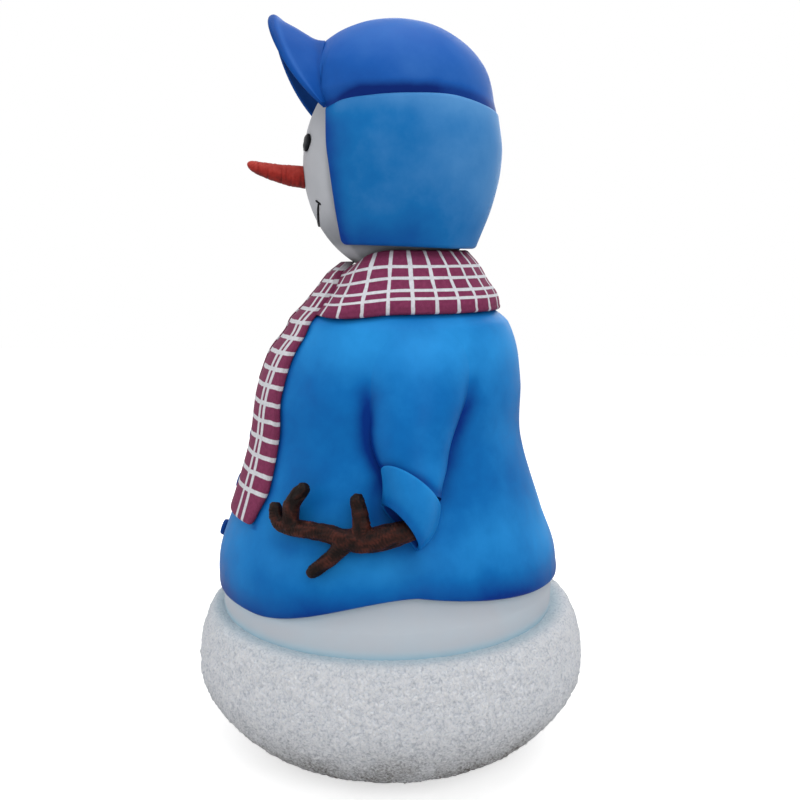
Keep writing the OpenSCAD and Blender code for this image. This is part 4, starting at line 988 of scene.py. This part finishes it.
def eyes():
    """Lumps of coal: domes with a few knocked-off facets"""
    sides = 40
    a = around(sides)
    lump = (1 + 0.05 * sind(3 * a + 40) + 0.04 * cosd(5 * a))[:, None]
    # Painted highlight up the coal's dome, painted shade at its foot
    shade = np.array([[0.6 * rise - 0.2] for _, rise in COAL_LAYERS])
    for side, sign in SIDES:
        seat, out = on_face(sign * EYE_HALF, EYE_Z, 0.3)
        across = unit(np.cross([0, 0, 1], out))
        ways = lump * spokes(across, np.cross(out, across), sides)
        rows = []
        for size, rise in COAL_LAYERS:
            ring = seat + size * EYE_D / 2 * ways + EYE_H * rise * out
            rows.append(ring + out * (0.9 * lumps(ring, 11, 2))[:, None] * (rise > 0.2))
        cast(side + "_eye_coal", "head", side + "_eye", "coal_paint", coal_enamel, on_head_turned(rows), shade=shade)


def face_bead(name, turn, z, radius):
    """A half-sunk bead of black paint along a line on the face"""
    seat, out = on_face(turn, z, 0.15 * MOUTH_D)
    across = np.cross(out, unit(np.gradient(seat, axis=0)))
    a = around(14)[:, None]
    rows = seat[:, None] + radius[:, None, None] * (cosd(a) * across[:, None] + 0.75 * sind(a) * out[:, None])
    cast(name, "head", "mouth_line", "coal_paint", coal_enamel, on_head_turned(rows), shade=0.0)


def mouth():
    """A thin smile whose ends are crossed by short ticks"""
    s = np.linspace(-1, 1, 90)
    taper = MOUTH_D / 2 * (0.35 + 0.65 * np.sqrt(1 - np.abs(s) ** 8))
    face_bead("mouth_smile", MOUTH_HALF * s, mix(SMILE_LOW_Z, SMILE_HIGH_Z, s ** 2), taper)
    s = np.linspace(-1, 1, 16)
    taper = MOUTH_D / 2 * 0.8 * (0.3 + 0.7 * np.sqrt(1 - s ** 6))
    for side, sign in SIDES:
        face_bead("mouth_tick_" + side, sign * (MOUTH_HALF - 0.3 + 2.6 * s), SMILE_HIGH_Z + 1 - 5 * s, taper)


# Each wrinkle's share of the carrot's length, and the side on which it is deepest
WRINKLES = [
    (0.07, 40), (0.15, 200), (0.22, 110), (0.31, 300), (0.39, 30), (0.47, 180), (0.55, 260), (0.63, 80), (0.72, 220),
    (0.8, 330), (0.88, 140),
]


def seat_depth(points, out):
    """How far points of the carrot's root stand in front of the face, along the carrot"""
    proud = 0.8
    size = 1 / np.array([HEAD_R + proud, HEAD_R + proud, HEAD_HALF_H + proud])
    q = (points - [0, NECK_BACK, HEAD_Z]) * size
    d = -out * size
    b = q @ d
    return (-b - np.sqrt(np.maximum(0, b * b - (d @ d) * ((q * q).sum(-1) - 1)))) / (d @ d)


def nose():
    """Carrot with rings of wrinkles that fade out part of the way round, a blunt tip and a slight upward curve"""
    sides, steps, root = 56, 84, 0.12
    out, across = np.array([0, -cosd(NOSE_RISE), sind(NOSE_RISE)]), np.array([1.0, 0, 0])
    up = np.cross(out, across)
    a, ways = around(sides), spokes(across, -up, sides)
    rows, shade = [], []
    for t in np.linspace(0, 1, steps) ** 0.9:
        size = NOSE_D / 2 * mix(1, 0.48, t ** 1.3) * math.sqrt(max(0.02, 1 - t ** 14))
        groove = sum(soft(t - at, 0.012) * (0.25 + 0.75 * soft(from_front(a - way), 70)) for at, way in WRINKLES)
        centre = NOSE_ROOT + NOSE_LEN * t * out + NOSE_CURVE * NOSE_LEN * t * t * up
        bump = 0.9 * lumps(centre + size * ways, 16, 3)
        ring = centre + (size - 1.1 * groove + bump)[:, None] * ways
        if t < root:
            ring = ring - out * seat_depth(ring, out)[:, None] * (1 - t / root) ** 2
        rows.append(ring)
        # Painted shade in the wrinkles and at the root against the face, painted highlight on the lumps and along the
        # top, painted shade underneath
        shade.append(0.2 - 0.45 * groove + 0.25 * bump - 0.35 * soft(t, 0.04) + 0.55 * (ways @ up))
    cast("carrot", "nose", "carrot_nose", "carrot_paint", carrot, on_head_turned(rows), shade=np.array(shade))


# Hat

# Height of the crease between the crown and the ear flaps, which arches over the ears, round from the front
CREASE = [
    (0, 1560), (42, 1566), (55, 1579), (72, 1584), (92, 1587), (112, 1588), (126, 1583), (140, 1576), (155, 1571),
    (180, 1568),
]
# Turn of the flaps' front edge up its height
FLAP_FRONT = [(1252, 38.8), (1270, 39.9), (1348, 43.5), (1423, 44.2), (1490, 42.7), (1565, 40.2), (1590, 39.6)]
# The flaps' radius at shares of their height
FLAP_OUT = [(0, FLAP_LOW_R), (0.34, mix(FLAP_LOW_R, FLAP_R, 0.67)), (0.7, FLAP_R), (1, FLAP_R - 11)]


def crease_z(turn):
    return through(CREASE, from_front(turn))


def crown_out(z):
    return oval(CROWN_R, np.maximum(0, z - RIM_Z), CROWN_H)


def bill_root(u):
    return mix(BILL_ROOT_Z, BILL_TEMPLE_Z, np.abs(u) ** 5)


def crown():
    """Dome that tucks in behind the ear flaps' rolled top, where its painted shade is deepest, and flares to it at the
    back
    """
    columns, rows, top_angle = 260, 84, 88.5
    turn = np.linspace(-180, 180, columns, endpoint=False)
    side = np.abs(turn)
    past = side - BILL_HALF
    low = np.where(past < -2, bill_root(np.clip(side / BILL_HALF, 0, 1)) + 2, crease_z(turn) - 3 - 9 * ease(past / 10))
    low_angle = np.degrees(np.arcsin(np.clip((low - RIM_Z) / CROWN_H, 0, 1)))
    below = np.clip(RIM_Z - low, 0, None)
    past_bill, at_back = ease((past + 4) / 30), ease((side - 90) / 60)
    start_r = crown_out(np.maximum(low, RIM_Z)) - 24
    rings, shade = [about(CROWN_BACK, turn, start_r, low + 2)], []
    for t in np.linspace(0, 1, rows) ** 1.15:
        a = mix(low_angle, top_angle, t)
        z = RIM_Z + CROWN_H * sind(a) - below * (1 - ease(t / 0.3))
        above = z - low
        tuck = mix(11, -5, at_back) * (1 - ease((above - 6) / 38)) * ease((past + 6) / 6)
        ring = about(CROWN_BACK, turn, CROWN_R * cosd(a) - tuck, z)
        out = (ring - [0, CROWN_BACK, RIM_Z]) / [CROWN_R, CROWN_R, CROWN_H]
        rings.append(ring + out * (1.3 * lumps(ring, 110, 2))[:, None] * min(1, 8 * (1 - t)))
        # Painted shade in a band above the crease beside and behind the bill, weaker at the back; painted highlight
        # high on the dome
        crease_shade = soft(np.maximum(0, above - 4 - 16 * past_bill), 8 + 6 * past_bill) * (0.6 + 0.6 * past_bill)
        crease_shade = crease_shade * ease((past + 4) / 4) * (1 - 0.4 * at_back)
        shade.append(0.1 + 0.1 * soft(z - CROWN_HIGHLIGHT_Z, 50) - crease_shade)
    cast("hat_crown_casting", "head", "hat_crown", "crown_paint", crown_enamel, on_head_turned(rings), sharp=80,
         shade=np.array(shade[:1] + shade))


def ear_flaps():
    """Hood of thick flaps with rounded edges and corners, from one temple round the back to the other"""
    columns, rows = 200, 84
    near = np.array([0, 0.3, 1, 2, 3.5, 5.5, 8]) / FLAP_RUN
    inset = 12 / FLAP_RUN
    share = np.concatenate([near, np.linspace(inset, 1 - inset, columns), 1 - near[::-1]])[:, None]
    from_edge = np.minimum(share, 1 - share) * FLAP_RUN
    turn = mix(FACE_HALF, 360 - FACE_HALF, share)
    nick = FLAP_CORNER * (1 - rounded(from_edge / FLAP_CORNER))
    low = FLAP_LOW_Z + FLAP_RIM + nick + 6 - 9 * ease((from_front(turn) - 45) / 100)
    crease = crease_z(turn)
    z = mix(low, crease - FLAP_RIM, np.linspace(0, 1, rows)[None])
    front = through(FLAP_FRONT, z)
    turn = mix(front, 360 - front, share)
    side = from_front(turn)
    r = through(FLAP_OUT, np.clip((z - FLAP_LOW_Z) / (crease - FLAP_LOW_Z), 0, 1))
    r = r + 1.2 * lumps(about(NECK_BACK, turn, r, z), 120, 2)
    r_in = np.maximum(head_out(z) + 1.2, r - FLAP_T)
    blunt = rounded(from_edge / FLAP_RIM, 0.02)
    outer, inner = [about(NECK_BACK, turn, mix((r + r_in) / 2, wall, blunt), z) for wall in (r, r_in)]
    # Painted highlight on the rolled top and at mid-height, painted shade along the edges, over the lower rim and
    # inside; paler towards the back
    shade = 0.05 + 0.5 * soft(crease - z, 32) - 0.85 * soft(from_edge, 28) + 0.1 * soft(z - HEAD_Z + 10, 110)
    shade -= 0.75 * soft(z - FLAP_LOW_Z, 50) * (1 - 0.5 * ease((side - 60) / 40))
    shade += 0.55 * ease((side - 88) / 50)
    cast("ear_flaps_casting", "head", "hat_ear_flaps", "hood_paint", hood_enamel,
         on_head_turned(pad_ring(outer, inner)), sharp=80, shade=pad_tone(shade, -0.9))


def bill_point(u, s, off, blend=0):
    """Point of the bill: u runs across, s from its root to its edge and below 0 back to the forehead. The blend is
    how far its root turns up the crown."""
    turn = BILL_HALF * u
    root_z = bill_root(u)
    up_crown = np.arcsin(np.clip((root_z - RIM_Z) / CROWN_H, 0, 1))
    out = np.maximum(0, s)
    reach = mix(BILL_LEN, BILL_T, np.abs(u) ** 4) * out
    rise = BILL_RISE - BILL_DROOP * u * u
    bent = BILL_BEND * u * (1 - u * u) * out
    r = crown_out(root_z) - BILL_SUNK + reach * cosd(rise) - off * sind(rise) + bent
    r = r + CROWN_R * (np.cos(up_crown + blend) - np.cos(up_crown)) + 50 * blend
    arch = BILL_ARCH * np.sin(np.pi * out) * (1 - u * u)
    z = root_z + reach * sind(rise) + off * cosd(rise) + arch
    z = z + CROWN_H * (np.sin(up_crown + blend) - np.sin(up_crown))
    low_z = z - FOREHEAD_DROP * (1 - u ** 4)
    edge = about(CROWN_BACK, turn, r, z)
    low = about(NECK_BACK, turn, head_out(low_z - BILL_T) + 1.5, low_z)
    return edge + (low - edge) * np.maximum(0, -s)[..., None]


def bill():
    """Turned-up bill with a thick rolled rim"""
    columns, rows, turns = 130, 46, 9
    u, s = np.broadcast_arrays(sind(90 * np.linspace(-1, 1, columns))[:, None], np.linspace(-1, 0.93, rows)[None])
    rim = 3.5 * ease((s - 0.72) / 0.2) - 1.2 * soft(s - 0.68, 0.14)
    half = BILL_T / 2 + rim * (1 - np.abs(u) ** 4)
    blend = 0.06 * np.clip(1 - s / 0.22, 0, 1) ** 2 * (s >= 0) * (1 - u ** 4)
    ring = pad_ring(bill_point(u, s, half, blend), bill_point(u, s, -half), turns)
    # Painted highlight just inside the rolled rim, painted shade at its edge, in the crease at its root, towards its
    # sides and over its underside
    shade = 0.12 + 0.5 * soft(s - 0.84, 0.05) - 0.5 * soft(s - 0.97, 0.07) - 0.25 * soft(s - 0.1, 0.1)
    shade = pad_tone(shade - 0.15 * np.abs(u) ** 3, -0.85, turns)
    shade[:, -turns:] = -0.85
    cast("hat_bill_casting", "head", "hat_bill", "bill_paint", bill_enamel, on_head_turned(ring), shade=shade)


def inner_works():
    """The boards, frame and fasteners inside keep their shapes and get their own materials"""
    works = {
        birch_plywood: ["base_board", "neck_board", "head_floor", "head_web"],
        primed_steel: ["foot_bars", "armature_post", "post_collar"],
        zinc_plate: ["anchor_inserts", "frame_bolts", "frame_nuts", "flange_bolts", "flange_nuts"],
        grey_pipe: ["left_arm_socket", "right_arm_socket", "neck_sleeve", "nose_socket"],
        beech_dowel: ["left_arm_peg", "right_arm_peg", "nose_peg"],
    }
    for material, nodes in works.items():
        for node in nodes:
            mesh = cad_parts[node].data
            mesh.materials.clear()
            mesh.materials.append(material)


# Studio, in metres

FLOOR_HALF = 9
CAMERA_TURN, CAMERA_HEIGHT, CAMERA_DISTANCE, CAMERA_PITCH = 97, 1.251, 2.4, 9
# Focal length as a share of the picture's width, and how far the figure stands beside the picture's middle, as a
# share of the focal length
FOCAL_SHARE, ASIDE = 957.9 / 800, 9 / 936
SENSOR = 36
SOFTBOXES = (
    ("overhead_softbox", (0.4, 0.3, 4.2), 3.0, 62),
    ("camera_side_softbox", (3.4, 1.9, 2.9), 2.2, 42),
    ("front_softbox", (1.4, -3.4, 2.0), 2.0, 20),
    ("far_side_softbox", (-3.2, 0.6, 2.4), 2.4, 26),
)


def studio():
    """White cove, large soft lamps and a camera at the photo's angle"""
    scene = bpy.context.scene
    scene.view_settings.view_transform = "Standard"
    scene.world = bpy.data.worlds.new("studio")
    scene.world.use_nodes = True
    tree = scene.world.node_tree
    rays = add(tree, "LightPath").node.outputs
    seen = add(tree, "Math", [rays["Is Camera Ray"], rays["Is Glossy Ray"]], operation="MAXIMUM")
    seen = add(tree, "Math", [seen, rays["Is Transmission Ray"]], operation="MAXIMUM")
    level = add(tree, "MapRange", {0: seen, 3: 0.55, 4: 1.0})
    sky = tree.nodes["Background"]
    sky.inputs["Color"].default_value = (1, 1, 1, 1)
    tree.links.new(level, sky.inputs["Strength"])

    corners = np.array([(-1, -1, 0), (1, -1, 0), (1, 1, 0), (-1, 1, 0)])
    floor = new_piece("floor", corners * FLOOR_HALF / MM, [(0, 1, 2, 3)])
    material, node, _, _ = new_finish("white_floor", Base_Color=srgb("#f4f4f4"), Roughness=1.0, Specular_IOR_Level=0.0)
    tree = material.node_tree
    matt = tree.nodes["Principled BSDF"].outputs[0]
    glow = node("Emission", {"Color": (1, 1, 1, 1), "Strength": 0.6})
    shown = node("MixShader", [node("LightPath", out="Is Camera Ray"), matt, node("AddShader", [matt, glow])])
    tree.links.new(shown, tree.nodes["Material Output"].inputs["Surface"])
    floor.data.materials.append(material)

    def place(name, data, location, way):
        holder = bpy.data.objects.new(name, data)
        holder.location = location
        holder.rotation_euler = way.to_track_quat("-Z", "Y").to_euler()
        scene.collection.objects.link(holder)
        return holder

    aim = Vector((0, 0, 0.95))
    for name, location, size, power in SOFTBOXES:
        lamp = bpy.data.lights.new(name, "AREA")
        lamp.shape, lamp.size, lamp.energy = "SQUARE", size, power
        place(name, lamp, location, aim - Vector(location))
    eye = bpy.data.cameras.new("photo_camera")
    eye.sensor_width, eye.lens = SENSOR, FOCAL_SHARE * SENSOR
    heading = CAMERA_TURN + 90 - math.degrees(math.atan(ASIDE))
    forward = Vector((cosd(heading) * cosd(CAMERA_PITCH), sind(heading) * cosd(CAMERA_PITCH), -sind(CAMERA_PITCH)))
    location = about(0, CAMERA_TURN, CAMERA_DISTANCE, CAMERA_HEIGHT)
    scene.camera = place("photo_camera", eye, location, forward)


studio()
snow_base()
belly()
coat()
sleeves()
cuffs()
buttons()
scarf_wrap()
scarf_tail("scarf_long_tail_casting", "scarf_tail_long", LONG_TAIL_Z, LONG_TAIL_TURN, 0, 1)
scarf_tail("scarf_short_tail_casting", "scarf_tail_short", SHORT_TAIL_Z, SHORT_TAIL_TURN, 2, -1)
branches()
head()
eyes()
mouth()
nose()
crown()
ear_flaps()
bill()
inner_works()
